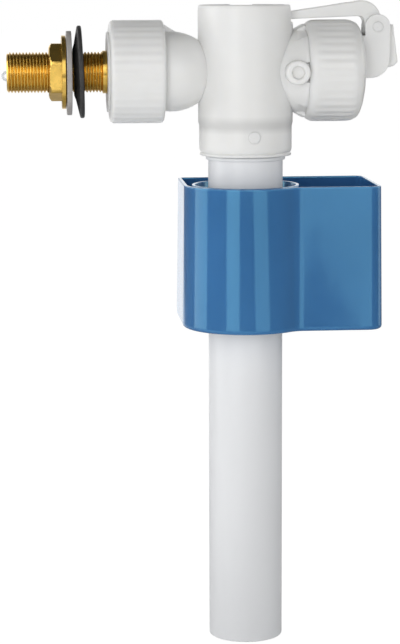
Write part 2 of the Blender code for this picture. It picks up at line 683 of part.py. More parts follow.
def outlet_horn(axis):
    """Flared branch with a flange, and the spigot that the cap closes over."""
    inside = BODY_X + BODY_RADIUS / 2
    flange_end = FLANGE_START + FLANGE_THICK
    profile = [(0.0, inside), (BRANCH_RADIUS - MM, inside), (BRANCH_RADIUS, BRANCH_START),
               (FLANGE_RADIUS, FLANGE_START), (FLANGE_RADIUS, flange_end),
               (OUTLET_SPIGOT_RADIUS, flange_end), (OUTLET_SPIGOT_RADIUS, SEAT_X),
               (0.0, SEAT_X)]
    horn = turned("outlet_horn", profile, LARGE_COUNT, axis)
    gaps = []
    for i in range(BAYONET_GAP_COUNT):
        gap = block("gap", (FLANGE_RADIUS - BAYONET_GAP_DEPTH, -BAYONET_GAP_WIDTH / 2,
                            FLANGE_START - BAYONET_GAP_DEPTH),
                    (FLANGE_RADIUS + MM, BAYONET_GAP_WIDTH / 2, flange_end + MM / 2), axis)
        gap.rotation_euler = (0.0, 0.0, 2 * math.pi * i / BAYONET_GAP_COUNT)
        gaps.append(gap)
    combine(horn, "DIFFERENCE", *gaps)
    return horn


def rod_guide():
    """Channel down the back of the cylinder that the float rod slides in."""
    half = ROD_WIDTH / 2 + SLIDE_GAP
    top = ROD_ARM_BOTTOM - 2 * SEAT_GAP
    guide = block("guide", (BODY_X - half - GUIDE_WALL, BODY_RADIUS - 3 * MM, GUIDE_BOTTOM),
                  (BODY_X + half + GUIDE_WALL, ROD_BACK + SLIDE_GAP + GUIDE_WALL, top))
    bevel(guide, 0.6 * MM)
    channel = block("channel", (BODY_X - half, ROD_FRONT - SLIDE_GAP, GUIDE_BOTTOM - MM),
                    (BODY_X + half, ROD_BACK + SLIDE_GAP, top + MM))
    return guide, channel


def front_boss():
    """Round boss with a blind hole, on the front of the branch."""
    boss = turned("boss", [(0.0, -BODY_RADIUS / 2), (BOSS_RADIUS, -BODY_RADIUS / 2),
                           (BOSS_RADIUS, BOSS_FRONT + BOSS_ROUND),
                           (BOSS_RADIUS - BOSS_ROUND * 0.3, BOSS_FRONT + BOSS_ROUND * 0.3),
                           (BOSS_RADIUS - BOSS_ROUND, BOSS_FRONT), (0.0, BOSS_FRONT)], MEDIUM_COUNT)
    turn_across(boss, BOSS_X, 0.0)
    hole = turned("hole", rod_profile(BOSS_HOLE, BOSS_FRONT - MM, BOSS_FRONT + BOSS_HOLE_DEPTH),
                  SMALL_COUNT)
    turn_across(hole, BOSS_X, 0.0)
    return boss, hole


def make_valve_body(body_frame, axis, material):
    """Cylinder and horns, hollowed above and below the feed tube that crosses them."""
    body = body_shell(body_frame)
    guide, channel = rod_guide()
    boss, boss_hole = front_boss()
    combine(body, "UNION", inlet_horn(axis), dome_rib(), outlet_horn(axis), guide, boss)

    partition_bottom = PARTITION_TOP - PARTITION_THICK
    lower = turned("lower", rod_profile(CHAMBER_RADIUS, SOCKET_TOP - MM, partition_bottom),
                   LARGE_COUNT, body_frame)
    socket = turned("socket", rod_profile(SOCKET_RADIUS, SKIRT_BOTTOM - MM, SOCKET_TOP),
                    LARGE_COUNT, body_frame)
    upper = turned("upper", rod_profile(BODY_RADIUS - BODY_WALL, PARTITION_TOP, BODY_TOP + MM),
                   LARGE_COUNT, body_frame)
    passage = turned("passage", rod_profile(BRANCH_RADIUS - RETURN_WALL, BODY_X,
                                            BRANCH_START + 3 * MM), LARGE_COUNT, axis)
    above = block("above", (0.0, -2 * BODY_RADIUS, partition_bottom - MM),
                  (2 * BODY_X, 2 * BODY_RADIUS, 2 * BODY_RADIUS))
    combine(passage, "DIFFERENCE", above)
    ring = turned("ring", rod_profile(RETURN_RADIUS, BRANCH_START + 2 * MM, SEAT_X + MM),
                  LARGE_COUNT, axis)
    combine(body, "DIFFERENCE", lower, socket, upper, passage, ring)

    feed = turned("feed", [(0.0, BODY_X - BODY_RADIUS), (FEED_RADIUS, BODY_X - BODY_RADIUS),
                           (FEED_RADIUS, SEAT_X - MM), (FEED_RADIUS - 0.7 * MM, SEAT_X),
                           (0.0, SEAT_X)], MEDIUM_COUNT, axis)
    combine(body, "UNION", feed)

    bore = turned("bore", rod_profile(FEED_BORE, INLET_SPIGOT_START - MM, SEAT_X + MM),
                  MEDIUM_COUNT, axis)
    half_notch = LEVER_WIDTH / 2 + LEVER_NOTCH_GAP
    notch = block("notch", (BODY_X + BODY_RADIUS / 2, -half_notch, ARM_MOUTH_BOTTOM - LEVER_NOTCH_DROP),
                  (BODY_X + BODY_RADIUS + MM, half_notch, BODY_TOP + MM))
    half_slot = ROD_WIDTH / 2 + 2 * SLIDE_GAP
    slot = block("slot", (BODY_X - half_slot, BODY_RADIUS / 2, ROD_ARM_BOTTOM - 2 * SLIDE_GAP),
                 (BODY_X + half_slot, BODY_RADIUS + MM, BODY_TOP + MM))
    catch = turned("catch", rod_profile(CATCH_RADIUS + SEAT_GAP, -BODY_RADIUS - MM,
                                        -SOCKET_RADIUS + 2 * MM), SMALL_COUNT)
    turn_across(catch, CATCH_X, CATCH_Z)
    combine(body, "DIFFERENCE", bore, channel, boss_hole, notch, slot, catch)
    finish(body, material)


# Pipe


def make_down_pipe(body_frame, material):
    """Tube with a stop bead under the skirt and a catch that shows through the skirt."""
    inner = PIPE_RADIUS - PIPE_WALL
    bead_top = SKIRT_BOTTOM - SEAT_GAP
    lip = PIPE_LIP_ROUND
    profile = [
        (inner, PIPE_TOP), (PIPE_RADIUS, PIPE_TOP), (PIPE_RADIUS, bead_top),
        (PIPE_BEAD_RADIUS, bead_top), (PIPE_BEAD_RADIUS, bead_top - PIPE_BEAD_LENGTH),
        (PIPE_RADIUS, bead_top - PIPE_BEAD_LENGTH), (PIPE_RADIUS, PIPE_BOTTOM + lip),
        (PIPE_RADIUS - lip, PIPE_BOTTOM), (inner, PIPE_BOTTOM),
    ]
    pipe = turned("down_pipe", profile, LARGE_COUNT, body_frame)
    front = -SKIRT_RADIUS - CATCH_PROUD
    catch = turned("catch", [(0.0, -inner - PIPE_WALL / 2), (CATCH_RADIUS, -inner - PIPE_WALL / 2),
                             (CATCH_RADIUS, front + 0.5 * MM), (CATCH_RADIUS - 0.5 * MM, front),
                             (0.0, front)], SMALL_COUNT)
    turn_across(catch, CATCH_X, CATCH_Z)
    combine(pipe, "UNION", catch)
    finish(pipe, material)


def make_pipe_seal(body_frame, material):
    """Rubber ring between the pipe's top and its socket."""
    profile = tube_profile(PIPE_RADIUS - SEAT_GAP, PIPE_RADIUS - PIPE_WALL + SEAT_GAP,
                           PIPE_TOP + SEAT_GAP, PIPE_TOP + SEAT_GAP + PIPE_SEAL_THICK)
    finish(turned("pipe_seal_ring", profile, MEDIUM_COUNT, body_frame), material)


def make_silencer(body_frame, material):
    """Vaned insert in the top of the pipe that breaks up the falling water."""
    outer = PIPE_RADIUS - PIPE_WALL - SEAT_GAP
    low = PIPE_TOP - MM - SILENCER_LENGTH
    high = PIPE_TOP - MM
    ring = turned("silencer", tube_profile(outer, outer - SILENCER_RING_WALL, low, high),
                  MEDIUM_COUNT, body_frame)
    hub = turned("hub", rod_profile(SILENCER_HUB, low, high), SMALL_COUNT, body_frame)
    vanes = []
    for i in range(SILENCER_VANE_COUNT):
        vane = block("vane", (0.0, -SILENCER_VANE / 2, low + MM),
                     (outer - SILENCER_RING_WALL / 2, SILENCER_VANE / 2, high - MM), body_frame)
        vane.rotation_euler = (0.0, 0.0, 2 * math.pi * i / SILENCER_VANE_COUNT)
        vanes.append(vane)
    combine(ring, "UNION", hub, *vanes)
    finish(ring, material)


# Diaphragm and cap


def make_diaphragm(axis, material):
    """Rubber membrane: clamped rim, rolled web and an open middle for its rigid centre."""
    low = SEAT_X + SEAT_GAP
    high = low + DIAPHRAGM_RIM_THICK
    middle = (low + high) / 2
    half_web = DIAPHRAGM_WEB_THICK / 2
    rim_inner = DIAPHRAGM_RADIUS - DIAPHRAGM_RIM_WIDTH
    hole = INSERT_RADIUS + SEAT_GAP
    roll = (rim_inner + hole) / 2
    profile = [
        (DIAPHRAGM_RADIUS, low), (DIAPHRAGM_RADIUS, high), (rim_inner, high),
        (rim_inner, middle + half_web), (roll, middle + half_web + DIAPHRAGM_ROLL),
        (hole, middle + half_web), (hole, middle - half_web),
        (roll, middle - half_web + DIAPHRAGM_ROLL), (rim_inner, middle - half_web),
        (rim_inner, low),
    ]
    finish(turned("diaphragm", profile, MEDIUM_COUNT, axis), material)


def make_insert(axis, material):
    """Rigid centre that closes on the seat and rides on the metering pin."""
    low = SEAT_X + SEAT_GAP
    disc = low + INSERT_DISC_THICK
    profile = [
        (INSERT_HOLE, low), (INSERT_RADIUS, low), (INSERT_RADIUS, disc),
        (INSERT_HUB_RADIUS, disc), (INSERT_HUB_RADIUS, disc + INSERT_HUB_LENGTH),
        (INSERT_HOLE, disc + INSERT_HUB_LENGTH),
    ]
    finish(turned("diaphragm_insert", profile, SMALL_COUNT, axis), material)


def make_metering_pin(axis, material):
    """Thin pin fixed in the cap, through the hole in the diaphragm's centre."""
    high = CAP_INNER_END - SEAT_GAP
    profile = rod_profile(METERING_PIN_RADIUS, high - METERING_PIN_LENGTH, high)
    finish(turned("metering_pin", profile, SMALL_COUNT // 2, axis), material)


def cap_shell(axis):
    """Fluted cup with a domed end; inside, a shoulder clamps the diaphragm's rim."""
    count = FLUTE_COUNT * FLUTE_POINTS
    inside = OUTLET_SPIGOT_RADIUS + SEAT_GAP
    grip_end = CAP_START + CAP_GRIP_LENGTH
    lip = CAP_RADIUS - FLUTE_DEPTH - CAP_LIP_CORNER
    rings = [
        circle(lip, CAP_START, count),
        circle(CAP_RADIUS, CAP_START + CAP_LIP_CORNER, count, FLUTE_DEPTH),
        circle(CAP_RADIUS, grip_end, count, FLUTE_DEPTH),
    ]
    steps = 5
    for i in range(steps):
        lean = math.radians(CAP_DOME_LEAN * i / (steps - 1))
        radius = CAP_DOME_START_RADIUS * math.cos(lean)
        rings.append(circle(radius, CAP_DOME_X + CAP_DOME_LENGTH * math.sin(lean), count))
    cap = skin("diaphragm_cap", rings, axis)
    room = turned("room", [
        (0.0, CAP_START - MM), (inside, CAP_START - MM), (inside, CAP_SHOULDER),
        (CAP_CHAMBER_RADIUS, CAP_SHOULDER), (CAP_CHAMBER_RADIUS, CAP_INNER_END),
        (0.0, CAP_INNER_END),
    ], LARGE_COUNT, axis)
    combine(cap, "DIFFERENCE", room)
    return cap


def cheek_outline():
    """Upright plate, round about the pivot, with a foot let into the cap's end."""
    left = PIVOT_X - CHEEK_RADIUS
    right = PIVOT_X + CHEEK_RADIUS
    root = CAP_END - CHEEK_ROOT_DEPTH
    outline = arc((PIVOT_X, PIVOT_Z), CHEEK_RADIUS, 0, 180, 14)
    outline += [(left, CHEEK_ROOT_TOP), (root, CHEEK_ROOT_TOP), (root, CHEEK_BOTTOM)]
    outline += arc((right - CHEEK_CORNER, CHEEK_BOTTOM + CHEEK_CORNER), CHEEK_CORNER, -90, 0, 7)
    return outline


def make_cap(axis, material):
    """Cap, two pivot cheeks, the pilot nozzle between them and a socket for the pin."""
    cap = cap_shell(axis)
    inner = CHEEK_GAP / 2
    cheeks = [plate("cheek", cheek_outline(), *sides)
              for sides in ((-inner - CHEEK_THICK, -inner), (inner, inner + CHEEK_THICK))]
    for cheek in cheeks:
        bevel(cheek, 0.35 * MM)
    nozzle = turned("nozzle", [
        (0.0, CAP_END - CHEEK_ROOT_DEPTH), (NOZZLE_RADIUS, CAP_END - CHEEK_ROOT_DEPTH),
        (NOZZLE_RADIUS, NOZZLE_TIP - MM), (NOZZLE_TIP_RADIUS, NOZZLE_TIP), (0.0, NOZZLE_TIP),
    ], SMALL_COUNT, axis)
    nozzle.location = (-NOZZLE_Z, 0.0, 0.0)
    socket = turned("socket", rod_profile(METERING_SOCKET_RADIUS,
                                          CAP_INNER_END - METERING_SOCKET_LENGTH,
                                          CAP_INNER_END + MM), SMALL_COUNT, axis)
    combine(cap, "UNION", nozzle, socket, *cheeks)
    pilot = turned("pilot", rod_profile(NOZZLE_BORE, CAP_INNER_END - MM, NOZZLE_TIP + MM),
                   SMALL_COUNT // 2, axis)
    pilot.location = (-NOZZLE_Z, 0.0, 0.0)
    pin_hole = turned("pin_hole", rod_profile(METERING_PIN_RADIUS + SEAT_GAP,
                                              CAP_SHOULDER, CAP_INNER_END + SEAT_GAP),
                      SMALL_COUNT // 2, axis)
    pivot_hole = turned("pivot_hole", rod_profile(PIN_RADIUS + SEAT_GAP, -CAP_RADIUS, CAP_RADIUS),
                        SMALL_COUNT)
    turn_across(pivot_hole, PIVOT_X, PIVOT_Z)
    combine(cap, "DIFFERENCE", pilot, pin_hole, pivot_hole)
    finish(cap, material)


# Lever


def opened(x, z):
    """Carry a point from the closed pose to the rest pose, about the pivot."""
    turn = Matrix.Rotation(-LEVER_TRAVEL, 4, "Y")
    point = turn @ Vector((x - PIVOT_X, 0.0, z - PIVOT_Z))
    return point.x, point.z


def lever_outline():
    """Bell crank seen from the front, about its pivot, with the float down."""
    slope = math.tan(LEVER_TRAVEL / 2)
    fork_x = BODY_X - FORK_TIP
    root_x = fork_x + FORK_LENGTH

    def fork_z(x, side):
        return FORK_Z + (x - BODY_X) * slope + side * FORK_THICK / 2

    lean = math.tan(LEVER_TRAVEL)
    back_x = SHORT_ARM_BACK_X + (SHORT_ARM_BACK_TOP - SHORT_ARM_BOTTOM) * lean
    face_top = (SHORT_ARM_BACK_X - SHORT_ARM_THICK, SHORT_ARM_BACK_TOP - 6.0 * MM)
    face_x = face_top[0] + (face_top[1] - SHORT_ARM_BOTTOM) * lean
    bend = (ARM_ROOT_X + 1.2 * MM, ARM_ROOT_TOP - ARM_BEND_RADIUS)
    outline = [
        (fork_x, fork_z(fork_x, -1)), (root_x, fork_z(root_x, -1)),
        (ARM_MOUTH_X, ARM_MOUTH_BOTTOM),
    ]
    outline += arc((ARM_ROOT_X, ARM_ROOT_BOTTOM - 2.4 * MM), 2.4 * MM, 90, 10, 4)
    outline += [
        (PIVOT_X - 5.0 * MM, PIVOT_Z - 2.6 * MM), (PIVOT_X - 1.6 * MM, PIVOT_Z - 4.8 * MM),
        face_top, (face_x, SHORT_ARM_BOTTOM), (back_x - 3.6 * MM, SHORT_ARM_BOTTOM),
        (back_x, SHORT_ARM_BOTTOM + 2.0 * MM), (SHORT_ARM_BACK_X, SHORT_ARM_BACK_TOP),
        (SHORT_ARM_BACK_X - 1.6 * MM, SHORT_ARM_BACK_TOP),
    ]
    outline += arc(bend, ARM_BEND_RADIUS, 15, 90, 6)
    outline += [
        (ARM_MOUTH_X, ARM_MOUTH_TOP), (root_x, fork_z(root_x, 1)), (fork_x, fork_z(fork_x, 1)),
    ]
    return [(x - PIVOT_X, z - PIVOT_Z) for x, z in outline]


def make_lever(pivot, material):
    """Bell crank: fork at the float rod's screw, hub on the pin, recess for the pilot pad."""
    half = LEVER_WIDTH / 2
    lever = plate("lever", lever_outline(), -half, half, pivot)
    bevel(lever, LEVER_EDGE)
    hole = turned("hole", rod_profile(PIN_RADIUS + SEAT_GAP, -LEVER_WIDTH, LEVER_WIDTH),
                  SMALL_COUNT, pivot)
    hole.rotation_euler = (math.radians(-90), 0.0, 0.0)
    half_slot = SCREW_RADIUS + SLIDE_GAP
    slot_start = BODY_X - PIVOT_X - 2 * FORK_TIP
    slot = block("slot", (slot_start, -half_slot, -LEVER_WIDTH),
                 (BODY_X - PIVOT_X + SCREW_RADIUS + 3 * SEAT_GAP, half_slot, LEVER_WIDTH), pivot)
    face = NOZZLE_TIP + SEAT_GAP + PAD_THICK
    recess = turned("recess", rod_profile(PAD_RADIUS + SEAT_GAP, -PAD_THICK, SEAT_GAP),
                    SMALL_COUNT, pivot)
    x, z = opened(face, NOZZLE_Z)
    recess.location = (x, 0.0, z)
    recess.rotation_euler = (0.0, math.radians(90) - LEVER_TRAVEL, 0.0)
    combine(lever, "DIFFERENCE", hole, slot, recess)
    finish(lever, material)


def make_pilot_pad(pivot, material):
    """Rubber pad in the short arm, square to the nozzle when the lever is up."""
    edge = 0.3 * MM
    pad = turned("pilot_pad", [
        (0.0, -PAD_THICK), (PAD_RADIUS - edge, -PAD_THICK), (PAD_RADIUS, edge - PAD_THICK),
        (PAD_RADIUS, 0.0), (0.0, 0.0),
    ], SMALL_COUNT, pivot)
    x, z = opened(NOZZLE_TIP + SEAT_GAP + PAD_THICK, NOZZLE_Z)
    pad.location = (x, 0.0, z)
    pad.rotation_euler = (0.0, math.radians(90) - LEVER_TRAVEL, 0.0)
    finish(pad, material)


def make_lever_pin(pivot, material):
    """Pin through both cheeks and the lever."""
    half = CHEEK_GAP / 2 + CHEEK_THICK + 0.4 * MM
    edge = 0.4 * MM
    pin = turned("lever_pin", [
        (0.0, -half), (PIN_RADIUS - edge, -half), (PIN_RADIUS, edge - half),
        (PIN_RADIUS, half - edge), (PIN_RADIUS - edge, half), (0.0, half),
    ], SMALL_COUNT, pivot)
    pin.rotation_euler = (math.radians(-90), 0.0, 0.0)
    finish(pin, material)


# Float


def make_float_rod(body_frame, material):
    """Flat rod behind the pipe: an arm into the body above, a hook on the float below."""
    half = ROD_WIDTH / 2
    foot_top = FLOAT_TOP + SEAT_GAP + ROD_FOOT_CROWN
    arm_top = ROD_ARM_BOTTOM + ROD_THICK
    slot_front = math.sqrt(FLOAT_TUBE_BORE ** 2 - half ** 2) - SEAT_GAP
    slot_back = FLOAT_TUBE_RADIUS + SEAT_GAP
    rod = block("float_rod", (-half, ROD_FRONT, foot_top - MM), (half, ROD_BACK, arm_top),
                body_frame)
    arm = block("arm", (-half, ROD_ARM_FRONT, ROD_ARM_BOTTOM),
                (half, ROD_BACK - MM / 2, arm_top - MM / 5), body_frame)
    foot = block("foot", (-half, min(slot_front - ROD_FOOT_LEG, ROD_FRONT),
                          FLOAT_TOP - ROD_FOOT_DEPTH),
                 (half, max(slot_back + ROD_FOOT_LEG, ROD_BACK), foot_top), body_frame)
    combine(rod, "UNION", arm, foot)
    bevel(rod, 0.35 * MM)
    slot = block("slot", (-ROD_WIDTH, slot_front, FLOAT_TOP - ROD_WIDTH - ROD_FOOT_DEPTH),
                 (ROD_WIDTH, slot_back, FLOAT_TOP + SEAT_GAP), body_frame)
    hole = turned("hole", rod_profile(SCREW_RADIUS + SEAT_GAP, 0.0, BODY_TOP), SMALL_COUNT,
                  body_frame)
    combine(rod, "DIFFERENCE", slot, hole)
    finish(rod, material)


def make_adjusting_screw(body_frame, material):
    """Screw in the rod's arm; the lever's fork sits in its neck, so a turn sets the level."""
    collar = SCREW_NECK_BOTTOM - SCREW_COLLAR_THICK
    head = SCREW_NECK_BOTTOM + SCREW_NECK_LENGTH
    top = head + SCREW_HEAD_THICK
    edge = 0.4 * MM
    screw = turned("adjusting_screw", [
        (0.0, SCREW_TIP), (SCREW_RADIUS - edge, SCREW_TIP), (SCREW_RADIUS, SCREW_TIP + edge),
        (SCREW_RADIUS, collar), (SCREW_COLLAR_RADIUS, collar),
        (SCREW_COLLAR_RADIUS, SCREW_NECK_BOTTOM), (SCREW_RADIUS, SCREW_NECK_BOTTOM),
        (SCREW_RADIUS, head), (SCREW_COLLAR_RADIUS, head), (SCREW_COLLAR_RADIUS, top - edge),
        (SCREW_COLLAR_RADIUS - edge, top), (0.0, top),
    ], SMALL_COUNT, body_frame)
    slot = block("slot", (-2 * SCREW_COLLAR_RADIUS, -SCREW_SLOT_WIDTH / 2, top - SCREW_SLOT_DEPTH),
                 (2 * SCREW_COLLAR_RADIUS, SCREW_SLOT_WIDTH / 2, top + MM), body_frame)
    combine(screw, "DIFFERENCE", slot)
    finish(screw, material)


def float_outline(grow, height):
    """Plan of the cup: a round lobe about the pipe, then a box to the right and back."""
    lobe = FLOAT_LOBE_RADIUS + grow
    front = FLOAT_FRONT + grow
    right = FLOAT_REACH + grow
    back = FLOAT_BACK + grow
    blend = FLOAT_BLEND - grow
    blend_x = math.sqrt((lobe + blend) ** 2 - (front + blend) ** 2)
    meet = math.degrees(math.atan2(front + blend, blend_x))
    front_corner = FLOAT_FRONT_CORNER + grow
    back_corner = FLOAT_BACK_CORNER + grow
    left_corner = FLOAT_LEFT_CORNER + grow / 2
    outline = arc((0.0, 0.0), lobe, 180, 360 - meet, 20)
    outline += arc((blend_x, -front - blend), blend, 180 - meet, 90, 5)[1:]
    outline += arc((right - front_corner, front_corner - front), front_corner, -90, 0, 6)
    outline += arc((right - back_corner, back - back_corner), back_corner, 0, 90, 5)
    outline += arc((left_corner - lobe, back - left_corner), left_corner, 90, 180, 3)
    return [(x, y, height) for x, y in outline]


def make_float(body_frame, material):
    """Thin cup that widens downwards, with an open tube for the pipe."""
    outer = skin("float", [
        float_outline(-FLOAT_FOOT_ROUND, FLOAT_BOTTOM),
        float_outline(-FLOAT_FOOT_ROUND * 0.3, FLOAT_BOTTOM + FLOAT_FOOT_ROUND * 0.3),
        float_outline(0.0, FLOAT_BOTTOM + FLOAT_FOOT_ROUND),
        float_outline(-FLOAT_DRAFT, FLOAT_TOP),
    ], body_frame)
    over = FLOAT_DRAFT / FLOAT_HEIGHT * MM
    cavity = skin("cavity", [
        float_outline(-FLOAT_WALL, FLOAT_BOTTOM + FLOAT_FLOOR),
        float_outline(-FLOAT_WALL - FLOAT_DRAFT - over, FLOAT_TOP + MM),
    ], body_frame)
    tube = turned("tube", rod_profile(FLOAT_TUBE_RADIUS, FLOAT_BOTTOM - MM, FLOAT_TOP + 2 * MM),
                  LARGE_COUNT, body_frame)
    combine(cavity, "DIFFERENCE", tube)
    hole = turned("hole", rod_profile(FLOAT_TUBE_BORE, FLOAT_BOTTOM - MM, FLOAT_TOP + MM),
                  LARGE_COUNT, body_frame)
    combine(outer, "DIFFERENCE", cavity, hole)
    finish(outer, material)


def build():
    """Make every piece, in the order the valve goes together."""
    clear_scene()
    brass = make_material("brass", (0.78, 0.52, 0.16), 0.28, 1.0)
    steel = make_material("steel", (0.6, 0.6, 0.6), 0.3, 1.0)
    washer_grey = make_material("washer_grey", (0.42, 0.41, 0.40), 0.5)
    rubber = make_material("rubber", (0.03, 0.03, 0.032), 0.7)
    white = make_material("white_plastic", (0.82, 0.83, 0.83), 0.4)
    clear_white = make_material("clear_white_plastic", (0.86, 0.87, 0.90), 0.35)
    blue = make_material("blue_plastic", (0.05, 0.22, 0.42), 0.2)

    axis = make_empty("inlet_axis", (0.0, 0.0, 0.0), math.radians(90))
    body_frame = make_empty("pipe_axis", (BODY_X, 0.0, 0.0))
    pivot = make_empty("lever_axis", (PIVOT_X, 0.0, PIVOT_Z))

    make_shank(axis, brass)
    make_filter(axis, clear_white)
    make_restrictor(axis, white)
    make_lock_nut(axis, brass)
    make_flat_washer(axis, washer_grey)
    make_cone_seal(axis, rubber)
    make_coupling_nut(axis, white)
    make_coupling_washer(axis, rubber)
    make_valve_body(body_frame, axis, white)
    make_down_pipe(body_frame, clear_white)
    make_pipe_seal(body_frame, rubber)
    make_silencer(body_frame, clear_white)
    make_diaphragm(axis, rubber)
    make_insert(axis, white)
    make_metering_pin(axis, steel)
    make_cap(axis, white)
    make_lever(pivot, white)
    make_pilot_pad(pivot, rubber)
    make_lever_pin(pivot, white)
    make_float_rod(body_frame, white)
    make_adjusting_screw(body_frame, white)
    make_float(body_frame, blue)
    bpy.context.view_layer.update()


build()
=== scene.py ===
"""Looks of a side-inlet toilet fill valve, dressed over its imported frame.

Sizes are in millimetres in the part's frame: X runs along the inlet into the cistern, Y to the
back and Z up the down pipe. Surfaces are grids of points, rows by columns, and `surface` turns
them into a mesh in metres.
"""

import math

import bpy
import numpy as np
from mathutils import Euler, Matrix, Vector


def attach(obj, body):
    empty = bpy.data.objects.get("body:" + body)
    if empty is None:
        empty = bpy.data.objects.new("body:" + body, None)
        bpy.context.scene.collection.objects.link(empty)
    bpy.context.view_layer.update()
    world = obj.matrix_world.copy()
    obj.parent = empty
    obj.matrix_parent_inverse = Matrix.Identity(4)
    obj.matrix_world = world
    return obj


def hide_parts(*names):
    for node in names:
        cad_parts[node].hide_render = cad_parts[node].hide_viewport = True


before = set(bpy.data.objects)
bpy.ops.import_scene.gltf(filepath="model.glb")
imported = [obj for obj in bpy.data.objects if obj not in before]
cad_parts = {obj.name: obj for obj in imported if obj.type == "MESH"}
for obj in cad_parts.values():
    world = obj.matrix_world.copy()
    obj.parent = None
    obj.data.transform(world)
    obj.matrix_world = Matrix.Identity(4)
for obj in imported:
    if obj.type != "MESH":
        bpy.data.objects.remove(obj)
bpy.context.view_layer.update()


# The inlet shank: a brass bar, bored, turned and cut with a G 3/8 thread. It goes through the
# cistern wall, and its shoulder and end flange are caught by the coupling nut.

ALONG_X = np.array([[1, 0, 0], [0, 1, 0], [0, 0, 1]], float)
COLUMNS = 144
SHANK_END = -26.5
SHANK_MAJOR = 8.33
SHANK_BORE = 6.2
THREAD_PITCH = 1.337
THREAD_DEPTH = 0.8
THREAD_STOP = 12.3
THREAD_ENTRY = 7.45
CREST_WIDTH = 1.4
SHOULDER_START = 12.6
SHOULDER_END = 14.9
SHOULDER_RADIUS = 8.75
FLANGE_START = 18.2
FLANGE_END = 21.0
FLANGE_RADIUS = 13.0


def surface(name, points, material, closed=True, sharp=38):
    """A mesh over a grid of points in millimetres. Columns close on themselves. Rows close too
    when closed, or else the first and last row get one face each. The faces are turned round
    where the volume, a sixth of the sum of a . (b x c) over the triangles, is negative."""
    rows, cols = points.shape[:2]
    index = np.arange(rows * cols).reshape(rows, cols)
    near, far = (index, np.roll(index, -1, axis=0)) if closed else (index[:-1], index[1:])
    quads = np.stack([near, np.roll(near, -1, axis=1), np.roll(far, -1, axis=1), far], axis=-1)
    quads = quads.reshape(-1, 4)
    flat = points.reshape(-1, 3) * 0.001
    a, b, c, d = (flat[quads[:, k]] - flat.mean(axis=0) for k in range(4))
    volume = np.einsum("ij,ij->", a, np.cross(b, c)) + np.einsum("ij,ij->", a, np.cross(c, d))
    faces = quads.tolist() + ([] if closed else [index[0][::-1].tolist(), index[-1].tolist()])
    if volume < 0:
        faces = [face[::-1] for face in faces]
    mesh = bpy.data.meshes.new(name)
    mesh.from_pydata(flat.tolist(), [], faces)
    mesh.materials.append(material)
    mesh.shade_smooth()
    mesh.set_sharp_from_angle(angle=math.radians(sharp))
    piece = bpy.data.objects.new(name, mesh)
    bpy.context.scene.collection.objects.link(piece)
    return piece


def turned(profile, radius=None, axis=ALONG_X, centre=(0, 0, 0), count=COLUMNS, start=0.0):
    """A turned form: at each (along, r) of the profile a circle about the axis,
    centre + along * axis + r (cos t u + sin t v). A radius grid takes the place of r."""
    profile = np.asarray(profile, float)
    t = np.radians(start) + np.arange(count) * 2 * np.pi / count
    if radius is None:
        radius = np.broadcast_to(profile[:, 1:2], (len(profile), count))
    return (np.asarray(centre, float) + profile[:, 0, None, None] * axis[0]
            + radius[..., None] * (np.cos(t)[:, None] * axis[1] + np.sin(t)[:, None] * axis[2]))


def new_material(name, colour, roughness, metallic=0.0):
    """A Principled material with its node tree ready for more."""
    material = bpy.data.materials.new(name)
    material.use_nodes = True
    shader = material.node_tree.nodes["Principled BSDF"]
    shader.inputs["Base Color"].default_value = (*colour, 1)
    shader.inputs["Roughness"].default_value = roughness
    shader.inputs["Metallic"].default_value = metallic
    return material, material.node_tree, shader


def noise(tree, scale, detail=3.0, stretch=(1, 1, 1)):
    """Noise on the piece's own coordinates, in metres, stretched along its axes."""
    place = tree.nodes.new("ShaderNodeTexCoord")
    mapping = tree.nodes.new("ShaderNodeMapping")
    mapping.inputs["Scale"].default_value = stretch
    texture = tree.nodes.new("ShaderNodeTexNoise")
    texture.inputs["Scale"].default_value = scale
    texture.inputs["Detail"].default_value = detail
    tree.links.new(place.outputs["Object"], mapping.inputs["Vector"])
    tree.links.new(mapping.outputs["Vector"], texture.inputs["Vector"])
    return texture.outputs["Fac"]


def feed(tree, socket, value):
    """Set a socket to a number, or link it to another node's output."""
    if isinstance(value, (int, float)):
        socket.default_value = value
    else:
        tree.links.new(value, socket)


def spread(tree, value, low, high, span=(0.3, 0.7)):
    """Map a value from its span to low..high. A noise's middle span is 0.3 to 0.7."""
    node = tree.nodes.new("ShaderNodeMapRange")
    for name, given in (("Value", value), ("From Min", span[0]), ("From Max", span[1]),
                        ("To Min", low), ("To Max", high)):
        feed(tree, node.inputs[name], given)
    return node.outputs["Result"]


def mottle(tree, shader, value, first, second):
    """Blend two colours by a noise value into the base colour."""
    ramp = tree.nodes.new("ShaderNodeValToRGB")
    for mark, place, colour in zip(ramp.color_ramp.elements, (0.3, 0.7), (first, second)):
        mark.position = place
        mark.color = (*colour, 1)
    tree.links.new(value, ramp.inputs["Fac"])
    tree.links.new(ramp.outputs["Color"], shader.inputs["Base Color"])


def relief(tree, shader, value, height):
    """Raise the surface by a noise value, height in millimetres."""
    bump = tree.nodes.new("ShaderNodeBump")
    bump.inputs["Distance"].default_value = height * 0.001
    bump.inputs["Strength"].default_value = 1.0
    tree.links.new(value, bump.inputs["Height"])
    tree.links.new(bump.outputs["Normal"], shader.inputs["Normal"])


# Brass: turned marks run round the X axis, with a little tarnish in patches.
brass, tree, shader = new_material("turned_brass", (0.67, 0.44, 0.105), 0.26, 1.0)
mottle(tree, shader, noise(tree, 220, 4), (0.62, 0.405, 0.092), (0.72, 0.475, 0.115))
tree.links.new(spread(tree, noise(tree, 400, 3), 0.18, 0.28), shader.inputs["Roughness"])
relief(tree, shader, noise(tree, 900, 2, (6, 0.6, 0.6)), 0.004)

